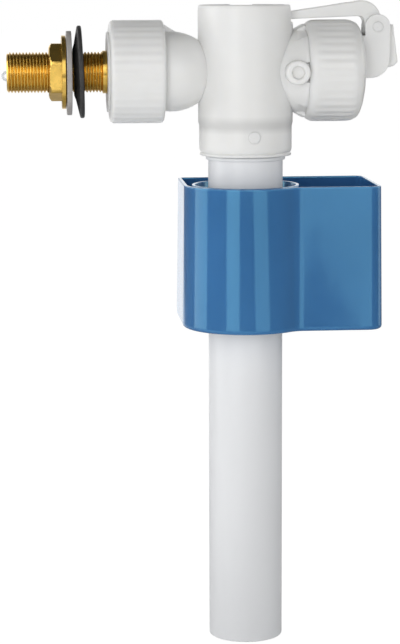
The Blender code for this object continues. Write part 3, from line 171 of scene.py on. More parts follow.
thread_x = np.arange(SHANK_END, THREAD_STOP, THREAD_PITCH / 14)
shank_profile = np.concatenate([
    [[SHANK_END, SHANK_BORE], [SHANK_END, SHANK_BORE + 0.7]],
    np.stack([thread_x, np.full(len(thread_x), SHANK_MAJOR)], axis=1),
    [[SHOULDER_START, 8.4], [SHOULDER_START + 0.1, SHOULDER_RADIUS],
     [SHOULDER_END - 0.15, SHOULDER_RADIUS], [SHOULDER_END - 0.02, SHOULDER_RADIUS - 0.15],
     [SHOULDER_END, SHANK_MAJOR], [FLANGE_START, SHANK_MAJOR], [FLANGE_START, FLANGE_RADIUS],
     [FLANGE_END, FLANGE_RADIUS], [FLANGE_END, SHANK_BORE]],
])
angle = np.arange(COLUMNS) * 2 * np.pi / COLUMNS
wave = shank_profile[:, :1] / THREAD_PITCH - angle / (2 * np.pi)
cut = THREAD_DEPTH * (0.5 - 0.5 * np.cos(2 * np.pi * wave)) ** CREST_WIDTH
in_thread = np.arange(len(shank_profile))[:, None]
in_thread = (in_thread >= 2) & (in_thread < 2 + len(thread_x))
entry = THREAD_ENTRY + (shank_profile[:, :1] - SHANK_END)
shank_radius = np.where(in_thread, np.minimum(shank_profile[:, 1:] - cut, entry),
                        shank_profile[:, 1:])
shank = surface("shank_threaded", turned(shank_profile, shank_radius), brass)
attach(shank, "valve")
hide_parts("inlet_shank")


# The filter: a moulded basket pushed into the shank's free end, with a ring to pull it out.
# Its slotted cup is out of sight, so the frame's own solid serves, in a milky plastic.

milky, tree, shader = new_material("milky_plastic", (0.80, 0.82, 0.84), 0.4)
mottle(tree, shader, noise(tree, 60, 2), (0.78, 0.80, 0.82), (0.84, 0.86, 0.88))
relief(tree, shader, noise(tree, 1500, 2), 0.01)
shader.inputs["Coat Weight"].default_value = 0.2
for name in ("inlet_filter", "flow_restrictor"):
    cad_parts[name].data.materials[0] = milky


# The lock nut: a brass hexagon with a round flange, its free face chamfered on the lathe. It
# is screwed up to the wall and stands turned by about eight degrees.

FINE_COLUMNS = 288
NUT_FLATS = 21.3
NUT_CORNER = 158.4
NUT_TURNED = 11.9
NUT_HOLE = 8.63
NUT_FACE = -9.4
NUT_FLANGE = -4.1
NUT_SEAT = -2.4
NUT_FLANGE_RADIUS = 15.0
nut_angle = np.radians(np.arange(FINE_COLUMNS) * 360 / FINE_COLUMNS)
hexagon = NUT_FLATS / 2 / np.cos((nut_angle % (np.pi / 3)) - np.pi / 6)
hexagon_rows = np.array([
    [NUT_FACE + 0.1, NUT_HOLE], [NUT_FACE, NUT_HOLE + 0.12], [NUT_FACE, 9.8],
    [NUT_FACE + 0.06, 10.2], [NUT_FACE + 0.35, 10.8], [NUT_FACE + 0.8, 11.5],
    [NUT_FACE + 1.1, 11.85], [NUT_FACE + 1.3, NUT_TURNED], [NUT_FLANGE - 0.25, NUT_TURNED],
    [NUT_FLANGE - 0.02, NUT_TURNED],
])
flange_rows = np.array([
    [NUT_FLANGE, NUT_FLANGE_RADIUS - 0.2], [NUT_FLANGE + 0.04, NUT_FLANGE_RADIUS - 0.05],
    [NUT_FLANGE + 0.15, NUT_FLANGE_RADIUS], [NUT_SEAT - 0.25, NUT_FLANGE_RADIUS],
    [NUT_SEAT - 0.05, NUT_FLANGE_RADIUS - 0.15], [NUT_SEAT, NUT_FLANGE_RADIUS - 0.4],
    [NUT_SEAT, NUT_HOLE + 0.12], [NUT_SEAT - 0.1, NUT_HOLE],
])
nut_profile = np.concatenate([hexagon_rows, flange_rows])
nut_radius = np.repeat(nut_profile[:, 1:], FINE_COLUMNS, axis=1)
nut_radius[:len(hexagon_rows)] = np.minimum(nut_radius[:len(hexagon_rows)], hexagon)
nut_points = turned(nut_profile, nut_radius, count=FINE_COLUMNS, start=NUT_CORNER)
lock_nut = surface("lock_nut_hexagon", nut_points, brass, sharp=24)
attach(lock_nut, "nut")
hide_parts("lock_nut")


# The flat washer: a moulded grey ring that bears on the outside of the wall. Its hole is loose
# on the thread, so it hangs a little.

WASHER_RADIUS = 17.2
WASHER_HOLE = 9.03
WASHER_THICK = 2.1
WASHER_DROP = 0.35


def rounded(corners, cut, steps=3):
    """Round a closed outline: a corner P becomes the curve (1-s)^2 A + 2s(1-s) P + s^2 B, where
    A and B lie the cut distance from P along its two sides."""
    p = np.asarray(corners, float)
    back = np.roll(p, 1, axis=0) - p
    ahead = np.roll(p, -1, axis=0) - p
    back_length = np.linalg.norm(back, axis=1, keepdims=True)
    ahead_length = np.linalg.norm(ahead, axis=1, keepdims=True)
    reach = np.minimum(np.broadcast_to(np.reshape(cut, (-1, 1)), back_length.shape),
                       0.48 * np.minimum(back_length, ahead_length))
    a = (p + back / back_length * reach)[:, None]
    b = (p + ahead / ahead_length * reach)[:, None]
    s = np.linspace(0, 1, steps + 1)[None, :, None]
    return ((1 - s) ** 2 * a + 2 * s * (1 - s) * p[:, None] + s ** 2 * b).reshape(-1, 2)


def held(outline, closed=True):
    """Add a point 0.3 mm from each end of an outline's sides over 5 mm, p + 0.3 d and q - 0.3 d
    with d from p to q, so that smooth shading leaves them straight."""
    p = np.asarray(outline, float)
    side = np.roll(p, -1, axis=0) - p
    length = np.linalg.norm(side[:, :2], axis=1, keepdims=True)
    points = np.stack([p, p + 0.3 * side / length, p + side - 0.3 * side / length], axis=1)
    keep = np.repeat(length > 5, 3, axis=1)
    keep[:, 0] = True
    keep[-1, 1:] &= closed
    return points[keep]


washer_grey, tree, shader = new_material("washer_grey", (0.36, 0.34, 0.33), 0.5)
mottle(tree, shader, noise(tree, 150, 3), (0.32, 0.30, 0.29), (0.42, 0.40, 0.38))
relief(tree, shader, noise(tree, 1200, 3), 0.02)
washer_profile = rounded([(0, WASHER_HOLE), (0, WASHER_RADIUS), (-WASHER_THICK, WASHER_RADIUS),
                          (-WASHER_THICK, WASHER_HOLE)], 0.4)
washer_points = turned(held(washer_profile), centre=(0, 0, -WASHER_DROP))
washer = surface("washer_ring", washer_points, washer_grey)
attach(washer, "valve")
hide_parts("flat_washer")


# The cone seal: a moulded rubber cone that seals the hole from inside. It is a loose fit on
# the thread and hangs a little askew, its top towards the wall.

SEAL_TILT = 1.7
SEAL_PLACE = 0.7
SEAL_HOLE = 8.93
SEAL_RADIUS = 18.9
SEAL_THICK = 3.9
rubber, tree, shader = new_material("black_rubber", (0.02, 0.02, 0.021), 0.55)
mottle(tree, shader, noise(tree, 120, 4), (0.014, 0.014, 0.015), (0.034, 0.033, 0.032))
tree.links.new(spread(tree, noise(tree, 300, 4), 0.42, 0.7), shader.inputs["Roughness"])
relief(tree, shader, noise(tree, 1500, 3), 0.03)
seal_profile = rounded([(0, SEAL_HOLE), (0, 9.6), (0.6, 11.2), (2.1, SEAL_RADIUS - 0.4),
                        (2.5, SEAL_RADIUS), (SEAL_THICK - 0.4, SEAL_RADIUS),
                        (SEAL_THICK, SEAL_RADIUS - 0.4), (SEAL_THICK, SEAL_HOLE)],
                       [0.2, 0.3, 0.3, 0.4, 0.3, 0.3, 0.3, 0.2])
tilt = math.radians(-SEAL_TILT)
seal_turn = np.array([[math.cos(tilt), 0, math.sin(tilt)], [0, 1, 0],
                      [-math.sin(tilt), 0, math.cos(tilt)]])
seal_points = turned(held(seal_profile)) @ seal_turn.T + (SEAL_PLACE, 0, 0)
seal = surface("seal_cone", seal_points, rubber)
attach(seal, "seal")
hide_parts("cone_seal")


# The coupling nut: a white union nut, moulded with fine grip flutes. It pulls the shank's
# flange against the body.

COUPLING_START = 15.3
COUPLING_END = 37.7
COUPLING_LIP = 14.4
COUPLING_INSIDE = 17.9
COUPLING_HOLE = 9.2
COUPLING_BORE = 17.5
GRIP_RADIUS = 21.1
GRIP_FLUTES = 36
GRIP_COLUMNS = 576
COUPLING_FLUTE = 0.14
white, tree, shader = new_material("white_acetal", (0.82, 0.82, 0.81), 0.32)
mottle(tree, shader, noise(tree, 45, 3), (0.80, 0.80, 0.785), (0.84, 0.84, 0.83))
tree.links.new(spread(tree, noise(tree, 40, 2), 0.3, 0.36), shader.inputs["Roughness"])
shader.inputs["Specular IOR Level"].default_value = 0.45
shader.inputs["Subsurface Weight"].default_value = 0.35
shader.inputs["Subsurface Radius"].default_value = (1.0, 0.95, 0.85)
shader.inputs["Subsurface Scale"].default_value = 0.004


def fluted(rows, depth):
    """Points of a fluted grip with radii r - depth * w * (1 - cos(n t)) / 2 for n flutes, where
    a row is (along, r, w) and w is the flutes' weight there."""
    t = np.arange(GRIP_COLUMNS) * 2 * np.pi / GRIP_COLUMNS
    dip = 0.5 - 0.5 * np.cos(GRIP_FLUTES * t)
    return turned(rows[:, :2], rows[:, 1:2] - depth * rows[:, 2:3] * dip, count=GRIP_COLUMNS)


coupling_rows = held([
    [COUPLING_LIP, COUPLING_HOLE, 0], [COUPLING_LIP, 16.0, 0], [COUPLING_LIP + 0.1, 16.4, 0],
    [COUPLING_START, 16.4, 0], [COUPLING_START, 18.6, 0], [COUPLING_START + 0.1, 19.3, 0],
    [COUPLING_START + 0.45, 20.2, 0.3], [COUPLING_START + 1.0, 20.8, 0.7],
    [COUPLING_START + 1.7, GRIP_RADIUS, 1], [COUPLING_END - 1.3, GRIP_RADIUS, 1],
    [COUPLING_END - 0.6, 20.85, 0.7], [COUPLING_END - 0.15, 20.3, 0.2], [COUPLING_END, 19.8, 0],
    [COUPLING_END, COUPLING_BORE, 0], [COUPLING_INSIDE, COUPLING_BORE, 0],
    [COUPLING_INSIDE, COUPLING_HOLE, 0],
])
coupling = surface("coupling_grip", fluted(coupling_rows, COUPLING_FLUTE), white)
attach(coupling, "coupling")
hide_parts("coupling_nut")
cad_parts["coupling_washer"].data.materials[0] = rubber


# The valve body: one white moulding. An upright cylinder carries a dome towards the inlet, a
# flared branch towards the cap, a round boss in front and a guide for the float rod behind.

ALONG_Z = np.array([[0, 0, 1], [1, 0, 0], [0, 1, 0]], float)
ALONG_Y = np.array([[0, 1, 0], [0, 0, 1], [1, 0, 0]], float)
BODY_X = 71.7
BODY_TOP = 27.2
BODY_RADIUS = 19.6
BODY_BORE = 17.6
PARTITION_TOP = 10.0
PARTITION_UNDER = 7.8
NOTCH_FOOT = 11.4
LEVER_NOTCH = (8.0, 20.2)
ROD_NOTCH = (4.7, 12.4)
SKIRT_RADIUS = 19.2
SKIRT_END = -34.6
THROAT = 14.3
BORE = 5.5
DOME_X = 41.0
DOME_LENGTH = 17.9
DOME_RADIUS = 16.4
BRANCH_RADIUS = 19.2
LIP_GAP = 12.0
BOSS_X = 91.2
BOSS_FACE = -21.9
BOSS_RADIUS = 4.95
BOSS_HOLE = 2.6
GUIDE_HALF = 6.35
GUIDE_SLOT = 4.35
GUIDE_ROOT = 16.6
GUIDE_BACK = 24.9


def coordinates(tree, kind):
    """The X, Y and Z outputs of one kind of texture coordinate."""
    place = tree.nodes.new("ShaderNodeTexCoord")
    parts = tree.nodes.new("ShaderNodeSeparateXYZ")
    tree.links.new(place.outputs[kind], parts.inputs["Vector"])
    return parts.outputs


def arc(centre, radius, start, end, steps):
    """Points centre + radius (cos a, sin a), angles in degrees."""
    a = np.radians(np.linspace(start, end, steps))
    return np.stack([centre[0] + radius * np.cos(a), centre[1] + radius * np.sin(a)], axis=1)


def plate(name, outline, low, high, edge, material, axis=1):
    """A plate with rounded edges: the outline, drawn in the plane across the axis, moves in by
    edge (1 - cos a) as it goes out by edge sin a, a from 90 degrees to 0, on both sides. One
    more ring just inside keeps the shading of the flat faces even."""
    p = np.asarray(outline, float)
    ahead = np.roll(p, -1, axis=0) - p
    ahead /= np.linalg.norm(ahead, axis=1, keepdims=True)
    run = ahead + np.roll(ahead, 1, axis=0)
    run /= np.linalg.norm(run, axis=1, keepdims=True)
    area = np.sum(p[:, 0] * np.roll(p[:, 1], -1) - np.roll(p[:, 0], -1) * p[:, 1])
    inward = np.stack([-run[:, 1], run[:, 0]], axis=1) * np.sign(area)
    inward /= np.maximum(np.sum(run * ahead, axis=1, keepdims=True), 0.6)
    a = np.radians([90, 90, 60, 30, 0])
    inset = edge * (1 - np.cos(a)) + np.array([0.1, 0, 0, 0, 0])
    inset = np.concatenate([inset, inset[::-1]])
    level = np.concatenate([low + edge * (1 - np.sin(a)), high - edge * (1 - np.sin(a[::-1]))])
    ring = p + inset[:, None, None] * inward
    points = np.insert(ring, axis, 0, axis=2)
    points[..., axis] = level[:, None]
    return surface(name, points, material, closed=False, sharp=30)


def notched(points, half, bottom, side):
    """Lower the body's rim over an opening: heights above the foot shrink by
    (bottom - foot) / (top - foot) in the columns that lie within the half width on one side."""
    points = points.copy()
    across = points[..., 1] if side[0] else points[..., 0] - BODY_X
    ahead = (points[..., 0] - BODY_X) * side[0] + points[..., 1] * side[1]
    z = points[..., 2]
    inside = (np.abs(across) < half) & (ahead > 0) & (z > NOTCH_FOOT)
    share = (bottom - NOTCH_FOOT) / (BODY_TOP - NOTCH_FOOT)
    points[..., 2] = np.where(inside, NOTCH_FOOT + (z - NOTCH_FOOT) * share, z)
    return points


# Painted shade: a soft grey band is multiplied into the cylinder's white, low down, where light
# passing through the wall would show its inner ledge.
# Sockets 6 and 7 of the mix and its output 2 are those for colours.
body_white = white.copy()
body_white.name = "white_acetal_body"
tree = body_white.node_tree
shader = tree.nodes["Principled BSDF"]
# The ramp holds the painted shade: white, then grey over the band's middle.
ledge_shade_ramp = tree.nodes.new("ShaderNodeValToRGB")
marks = ledge_shade_ramp.color_ramp.elements
marks[0].color = (1, 1, 1, 1)
for stop in (0.35, 0.6):
    marks.new(stop).color = (0.82, 0.82, 0.82, 1)
shade_band = spread(tree, coordinates(tree, "Object")["Z"], 0, 1, (-0.0252, -0.0178))
shade = tree.nodes.new("ShaderNodeMix")
shade.data_type = "RGBA"
shade.blend_type = "MULTIPLY"
shade.inputs["Factor"].default_value = 1.0
tree.links.new(shade_band, ledge_shade_ramp.inputs["Fac"])
tree.links.new(shader.inputs["Base Color"].links[0].from_socket, shade.inputs[6])
tree.links.new(ledge_shade_ramp.outputs["Color"], shade.inputs[7])
tree.links.new(shade.outputs[2], shader.inputs["Base Color"])

well = [(PARTITION_TOP, 0.4), (PARTITION_TOP, BODY_BORE - 0.7),
        (PARTITION_TOP + 0.2, BODY_BORE - 0.2), (PARTITION_TOP + 0.8, BODY_BORE),
        (NOTCH_FOOT, BODY_BORE), (BODY_TOP - 1.6, BODY_BORE)]
rim = [(BODY_TOP - 0.6, 17.85), (BODY_TOP - 0.2, 18.1), (BODY_TOP - 0.05, 18.4),
       (BODY_TOP, 18.6), (BODY_TOP - 0.1, 19.0), (BODY_TOP - 0.4, 19.35),
       (BODY_TOP - 0.9, 19.52), (BODY_TOP - 1.6, BODY_RADIUS)]
wall = [(NOTCH_FOOT, BODY_RADIUS), (-20.3, BODY_RADIUS), (-20.9, 19.56), (-21.7, 19.38),
        (-22.3, 19.24), (-22.8, SKIRT_RADIUS)]
hem = [(-31.2, SKIRT_RADIUS), (-32.0, 19.12), (-32.6, 18.95), (-33.0, 18.7), (-33.2, 18.4),
       (-33.35, 18.45), (-33.45, 18.8), (-33.7, 18.98), (-34.2, 18.98), (-34.5, 18.8),
       (SKIRT_END, 18.5), (SKIRT_END, 16.1)]
socket = [(SKIRT_END + 0.2, 15.82), (-12.0, 15.8), (-11.7, THROAT), (PARTITION_UNDER, THROAT),
          (PARTITION_UNDER, 0.4)]
body_profile = held(well + rim + wall + hem + socket, False)
body_points = turned(body_profile, axis=ALONG_Z, centre=(BODY_X, 0, 0), count=FINE_COLUMNS)
body_points = notched(body_points, *LEVER_NOTCH, (1, 0))
body_points = notched(body_points, *ROD_NOTCH, (0, 1))
body = surface("body_cylinder", body_points, body_white, closed=False, sharp=30)

lean = np.radians(np.linspace(-8.5, 70, 24))
dome = np.stack([DOME_X + DOME_LENGTH * np.sin(lean), DOME_RADIUS * np.cos(lean)], axis=1)
inlet_profile = np.concatenate([[(23.6, BORE), (23.6, 16.4), (24.2, 17.0), (37.8, 17.0),
                                 (38.0, 16.8)], dome, [(57.8, BORE)]])
inlet_dome = surface("body_inlet_dome", turned(held(inlet_profile)), white)

# Six gaps break the branch's lip.
branch_rows = np.array([
    [80.0, BORE], [80.0, 14.6], [87.0, 15.1], [88.0, 15.5], [88.8, 15.85], [92.2, 17.6],
    [92.3, 17.65], [94.3, 18.8], [94.9, 19.1], [95.2, BRANCH_RADIUS], [96.05, BRANCH_RADIUS],
    [96.1, 19.1], [96.1, 17.4], [103.4, 17.4], [104.0, 16.8], [104.0, BORE],
])
branch_radius = np.repeat(branch_rows[:, 1:], FINE_COLUMNS, axis=1)
gap_angle = (np.arange(FINE_COLUMNS) * 360 / FINE_COLUMNS + 30) % 60 - 30
in_gap = np.abs(gap_angle) < LIP_GAP
branch_radius[:, in_gap] = np.minimum(branch_radius[:, in_gap], 17.5)
branch = surface("body_branch", turned(branch_rows, branch_radius, count=FINE_COLUMNS), white,
                 sharp=30)

boss_profile = rounded([(-10, 0.3), (-10, BOSS_RADIUS), (BOSS_FACE, BOSS_RADIUS),
                        (BOSS_FACE, BOSS_HOLE), (BOSS_FACE + 2.3, BOSS_HOLE),
                        (BOSS_FACE + 2.3, 0.3)], [0.02, 0.02, 1.3, 0.8, 0.5, 0.02], 5)
boss_points = turned(held(boss_profile, False), axis=ALONG_Y, centre=(BOSS_X, 0, 0), count=64)
boss = surface("body_boss", boss_points, white, closed=False)

guide_outline = rounded([
    (BODY_X - GUIDE_HALF, GUIDE_ROOT), (BODY_X - GUIDE_HALF, GUIDE_BACK),
    (BODY_X + GUIDE_HALF, GUIDE_BACK), (BODY_X + GUIDE_HALF, GUIDE_ROOT),
    (BODY_X + GUIDE_SLOT, GUIDE_ROOT), (BODY_X + GUIDE_SLOT, GUIDE_BACK - 2),
    (BODY_X - GUIDE_SLOT, GUIDE_BACK - 2), (BODY_X - GUIDE_SLOT, GUIDE_ROOT),
], [0.1, 0.9, 0.9, 0.1, 0.1, 0.3, 0.3, 0.1])
guide_rows = np.array([-21.5, -21.1, 12.0, 12.4])
guide_points = np.zeros((len(guide_rows), len(guide_outline), 3))
guide_points[..., :2] = guide_outline
guide_points[..., 2] = guide_rows[:, None]
guide = surface("body_rod_guide", guide_points, white, closed=False)
rib_outline = np.array([(38.0, 9.8), (43.6, 9.8), (43.6, 15.8), (38.0, 19.2)])
rib = plate("body_dome_rib", rib_outline, -1.5, 1.5, 0.4, white)
for piece in (body, inlet_dome, branch, boss, guide, rib):
    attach(piece, "valve")
    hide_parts("valve_body")


# The down pipe: an extruded white tube, with a bead that stops it in the skirt. Its faint blue
# tint is painted light, standing in for the blue light the float throws up on it. The round
# catch on its front clicks into the skirt's hole.

PIPE_TOP = -14
PIPE_END = -240
PIPE_RADIUS = 15.5
PIPE_BORE = 14.0
BEAD_TOP = -34.9
BEAD_UNDER = -36.3
CATCH_X = 73.4
CATCH_Z = -26.3
CATCH_RADIUS = 2.6
CATCH_FACE = -19.55
# Painted reflection: the blue in these whites stands in for the float's blue light on the pipe.
pipe_white, tree, shader = new_material("pipe_plastic", (0.81, 0.82, 0.835), 0.34)
mottle(tree, shader, noise(tree, 30, 3, (1, 1, 0.3)), (0.79, 0.80, 0.815), (0.83, 0.84, 0.855))
tree.links.new(spread(tree, noise(tree, 180, 3, (1, 1, 0.2)), 0.28, 0.42),
               shader.inputs["Roughness"])
relief(tree, shader, noise(tree, 500, 3, (1, 1, 0.05)), 0.015)
pipe_profile = rounded([(PIPE_TOP, PIPE_BORE), (PIPE_TOP, PIPE_RADIUS), (BEAD_TOP, PIPE_RADIUS),
                        (BEAD_TOP, PIPE_RADIUS + 1), (BEAD_UNDER, PIPE_RADIUS + 1),
                        (BEAD_UNDER, PIPE_RADIUS), (PIPE_END, PIPE_RADIUS),
                        (PIPE_END, PIPE_BORE)], [0.2, 0.3, 0.1, 0.3, 0.3, 0.1, 0.45, 0.2])
pipe_points = turned(held(pipe_profile), axis=ALONG_Z, centre=(BODY_X, 0, 0))
pipe = surface("pipe_tube", pipe_points, pipe_white)
catch_profile = rounded([(-14.7, 0.3), (-14.7, CATCH_RADIUS), (CATCH_FACE, CATCH_RADIUS),
                         (CATCH_FACE, 0.3)], [0.02, 0.02, 0.6, 0.1])
catch_points = turned(catch_profile, axis=ALONG_Y, centre=(CATCH_X, 0, CATCH_Z), count=48)
catch = surface("pipe_catch", catch_points, white, closed=False)
for piece in (pipe, catch):
    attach(piece, "valve")
    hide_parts("down_pipe")
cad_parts["silencer"].data.materials[0] = milky
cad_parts["pipe_seal_ring"].data.materials[0] = rubber


# The cap: white, with the same grip flutes and a low dome. Two cheeks stand on it for the
# lever's pin, with the pilot nozzle between them.

CAP_START = 96.4
CAP_RADIUS = 20.9
CAP_BORE = 17.7
CAP_SHOULDER = 107.0
CAP_INSIDE = 112.5
CAP_FLUTE = 0.22
PIVOT_X = 125.9
PIVOT_Z = 17.9
CHEEK_RADIUS = 5.2
CHEEK_INNER = 4.2
CHEEK_OUTER = 6.2
NOZZLE_Z = 5
NOZZLE_TIP = 125.2
NOZZLE_HOLE = 0.7
lean = np.radians(np.array([0, 6, 14, 24, 36, 48, 60, 72, 82, 88.5]))
cap_dome = np.stack([116.6 + 4.5 * np.sin(lean), 19.9 * np.cos(lean), 0 * lean], axis=1)
cap_rows = held(np.concatenate([[
    [CAP_INSIDE, 0.3, 0], [CAP_INSIDE, 13.2, 0], [CAP_SHOULDER, 13.2, 0],
    [CAP_SHOULDER, CAP_BORE, 0], [CAP_START - 0.24, CAP_BORE, 0], [CAP_START - 0.24, 19.1, 0],
    [CAP_START - 0.1, 19.4, 0], [CAP_START + 1.0, 20.2, 0], [CAP_START + 2.0, 20.65, 0.05],
    [CAP_START + 3.2, 20.85, 0.2], [CAP_START + 5.0, CAP_RADIUS, 0.6],
    [CAP_START + 7.0, CAP_RADIUS, 1], [113.4, CAP_RADIUS, 1], [114.6, 20.75, 0.7],
    [115.5, 20.5, 0.3], [116.2, 20.2, 0],
], cap_dome]), False)
cap = surface("cap_grip", fluted(cap_rows, CAP_FLUTE), white, closed=False)
cheek_outline = np.concatenate([
    arc((PIVOT_X, PIVOT_Z), CHEEK_RADIUS, 0, 180, 19), [(120.7, 14.4), (116.7, 14.4)],
    [(116.7, -3.0)], arc((123.1, 5), 8, -90, 0, 9),
])
cheeks = [plate("cap_cheek_front", cheek_outline, -CHEEK_OUTER, -CHEEK_INNER, 0.35, white),
          plate("cap_cheek_back", cheek_outline, CHEEK_INNER, CHEEK_OUTER, 0.35, white)]
nozzle_profile = rounded([(116.5, NOZZLE_HOLE), (116.5, 2.2), (NOZZLE_TIP - 1, 2.2),
                          (NOZZLE_TIP, 1.5), (NOZZLE_TIP, NOZZLE_HOLE)],
                         [0.02, 0.02, 0.2, 0.2, 0.1])
nozzle_points = turned(nozzle_profile, centre=(0, 0, NOZZLE_Z), count=48)
nozzle = surface("cap_nozzle", nozzle_points, white)
for piece in (cap, *cheeks, nozzle):
    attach(piece, "valve")
    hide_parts("diaphragm_cap")


# The lever's pin: a short moulded rod through both cheeks, its ends just proud of them.

PIN_HALF = 6.6
PIN_RADIUS = 2.2
pin_profile = rounded([(-PIN_HALF, 0.2), (-PIN_HALF, PIN_RADIUS), (PIN_HALF, PIN_RADIUS),
                       (PIN_HALF, 0.2)], [0.1, 0.4, 0.4, 0.1])
pin_points = turned(pin_profile, axis=ALONG_Y, centre=(PIVOT_X, 0, PIVOT_Z), count=48)
pin = surface("pin_rod", pin_points, white, closed=False)
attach(pin, "valve")
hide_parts("lever_pin")


# The lever: a white bell crank. Its long arm reaches over the cap into the body, where a fork
# holds the adjusting screw's neck; the short arm hangs over the nozzle with a rubber pad.

FORK_HEIGHT = 21.0
FORK_SLOPE = math.tan(math.radians(3.5))
FORK_HALF = 1.2
FORK_ROOT = 78.0
LEVER_HALF = 3.9
PRONG_GAP = 2.35
PIN_EYE = 2.5


def fork_bar(start):
    """A bar that ends at the fork's root, its centre line on height + (x - neck) * slope."""
    bar = np.array([(start, -1), (FORK_ROOT, -1), (FORK_ROOT, 1), (start, 1)], float)
    bar[:, 1] = FORK_HEIGHT + (bar[:, 0] - BODY_X) * FORK_SLOPE + bar[:, 1] * FORK_HALF
    return bar


fork = fork_bar(67.6)
neck = fork_bar(74.6)
long_arm = np.concatenate([
    neck[:2], [(92.0, 21.3)], arc((118.2, 19.9), 2.4, 90, 10, 8), [(120.8, 17.4)],
    arc((PIVOT_X, PIVOT_Z), PIN_EYE, 191.5, -11.5, 17),
    [(132.8, 17.4), (132.6, 18.8), (131.0, 18.8)],
    arc((119.4, 20.6), 8.1, 15, 90, 14), [(92.0, 24.7)], neck[2:],
])
short_arm = np.concatenate([
    [(120.8, 18.2), (120.9, 15.3), (124.3, 13.1), (127.9, 12.8), (129.31, 1.3), (131.3, 1.3)],
    [(133.2, 2.0), (134.7, 3.5), (132.7, 18.2)], arc((PIVOT_X, PIVOT_Z), PIN_EYE, 7, -187, 17),
])
lever = [
    plate("lever_long_arm", long_arm, -LEVER_HALF, LEVER_HALF, 0.5, white),
    plate("lever_short_arm", short_arm, 0.03 - LEVER_HALF, LEVER_HALF - 0.03, 0.5, white),
    plate("lever_prong_front", fork, -LEVER_HALF, -PRONG_GAP, 0.35, white),
    plate("lever_prong_back", fork, PRONG_GAP, LEVER_HALF, 0.35, white),
]
for piece in lever:
    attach(piece, "lever")
    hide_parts("lever")
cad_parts["pilot_pad"].data.materials[0] = rubber


# The float rod: a flat white strip behind the pipe. Its arm reaches over the partition to the
# screw, and its foot hooks over the wall of the float's tube with 0.3 mm to spare each side.

TUBE_RADIUS = 22.4
TUBE_BORE = 21.0
ROD_HALF = 4
ROD_BACK = 22.55
ROD_FRONT = 20.25
ARM_UNDER = 13.0
ARM_TOP = 15.3
HOOK_TOP = -43.5
HOOK_SEAT = -46.5
HOOK_END = -55.8
slot_front = math.sqrt(TUBE_BORE ** 2 - ROD_HALF ** 2) - 0.3
slot_back = TUBE_RADIUS + 0.3
strip = np.array([
    (5.0, ARM_UNDER), (ROD_FRONT, ARM_UNDER), (ROD_FRONT, HOOK_TOP),
    (slot_front - 1.8, HOOK_TOP), (slot_front - 1.8, HOOK_END), (slot_front, HOOK_END),
    (slot_front, HOOK_SEAT), (slot_back, HOOK_SEAT), (slot_back, HOOK_END),
    (slot_back + 1.8, HOOK_END), (slot_back + 1.8, HOOK_TOP), (ROD_BACK, HOOK_TOP),
    (ROD_BACK, ARM_TOP), (5.0, ARM_TOP),
])
eye = np.concatenate([
    [(BODY_X - ROD_HALF, -4.4), (BODY_X - 0.05, -4.4)], arc((BODY_X, 0), 2.3, -91, -449, 29),
    [(BODY_X + 0.05, -4.4), (BODY_X + ROD_HALF, -4.4), (BODY_X + ROD_HALF, 6)],
    [(BODY_X - ROD_HALF, 6)],
])
rod = [
    plate("rod_strip", strip, BODY_X - ROD_HALF, BODY_X + ROD_HALF, 0.35, white, axis=0),
    plate("rod_eye", eye, ARM_UNDER + 0.02, ARM_TOP - 0.02, 0.3, white, axis=2),
]
for piece in rod:
    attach(piece, "float")
    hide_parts("float_rod")


# The adjusting screw: a white moulding with a coarse thread. Its neck between two collars
# carries the lever's fork, and its head has a slot.

SCREW_RADIUS = 2.0
SCREW_PITCH = 0.9
SCREW_DEPTH = 0.28
SCREW_TOP = 23.75
SCREW_COLUMNS = 72
HEAD_RADIUS = 4.2
SLOT_ANGLE = 6.8
screw_z = np.arange(11.1, 17.6, 0.05)
screw_rows = np.concatenate([
    [[10.7, 0.3], [10.7, 1.5], [10.9, 1.8]],
    np.stack([screw_z, np.full(len(screw_z), SCREW_RADIUS)], axis=1),
    [[17.85, SCREW_RADIUS], [17.85, 3.9], [18.0, 4.15], [19.1, 4.15], [19.25, 3.9],
     [19.25, SCREW_RADIUS], [22.75, SCREW_RADIUS], [22.75, 3.9], [22.9, HEAD_RADIUS],
     [SCREW_TOP, HEAD_RADIUS], [SCREW_TOP, 0.3]],
])
turn = np.arange(SCREW_COLUMNS) * 2 * np.pi / SCREW_COLUMNS
groove = 0.5 - 0.5 * np.cos(2 * np.pi * screw_rows[:, :1] / SCREW_PITCH - turn)
in_groove = (screw_rows[:, :1] > 11) & (screw_rows[:, :1] < 17.6)
screw_radius = screw_rows[:, 1:] - np.where(in_groove, SCREW_DEPTH * groove, 0)
screw_points = turned(screw_rows, screw_radius, ALONG_Z, (BODY_X, 0, 0), SCREW_COLUMNS)
screw = [surface("screw_thread", screw_points, white, closed=False)]
for name, side in (("screw_head_back", 1), ("screw_head_front", -1)):
    half_moon = arc((BODY_X, 0), HEAD_RADIUS, side * SLOT_ANGLE, side * (180 - SLOT_ANGLE), 30)
    screw.append(plate(name, half_moon, SCREW_TOP - 0.15, SCREW_TOP + 1.1, 0.3, white, axis=2))
for piece in screw:
    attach(piece, "screw")
    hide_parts("adjusting_screw")


# The pieces inside the cap: a rubber diaphragm with a rigid centre, and the thin steel pin
# that meters the water through it. They are out of sight, so the frame's solids serve.

steel, tree, shader = new_material("drawn_steel", (0.6, 0.6, 0.6), 0.3, 1.0)
tree.links.new(spread(tree, noise(tree, 500, 3, (0.2, 4, 4)), 0.22, 0.4),
               shader.inputs["Roughness"])
relief(tree, shader, noise(tree, 900, 2, (0.2, 4, 4)), 0.01)
for name, material in (("diaphragm", rubber), ("diaphragm_insert", milky),
                       ("metering_pin", steel)):
    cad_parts[name].data.materials[0] = material


# The float: a thin blue cup, injection moulded and open at the top, with a tube that slides
# round the pipe. Its walls draw in towards the rim, as the mould's taper needs.

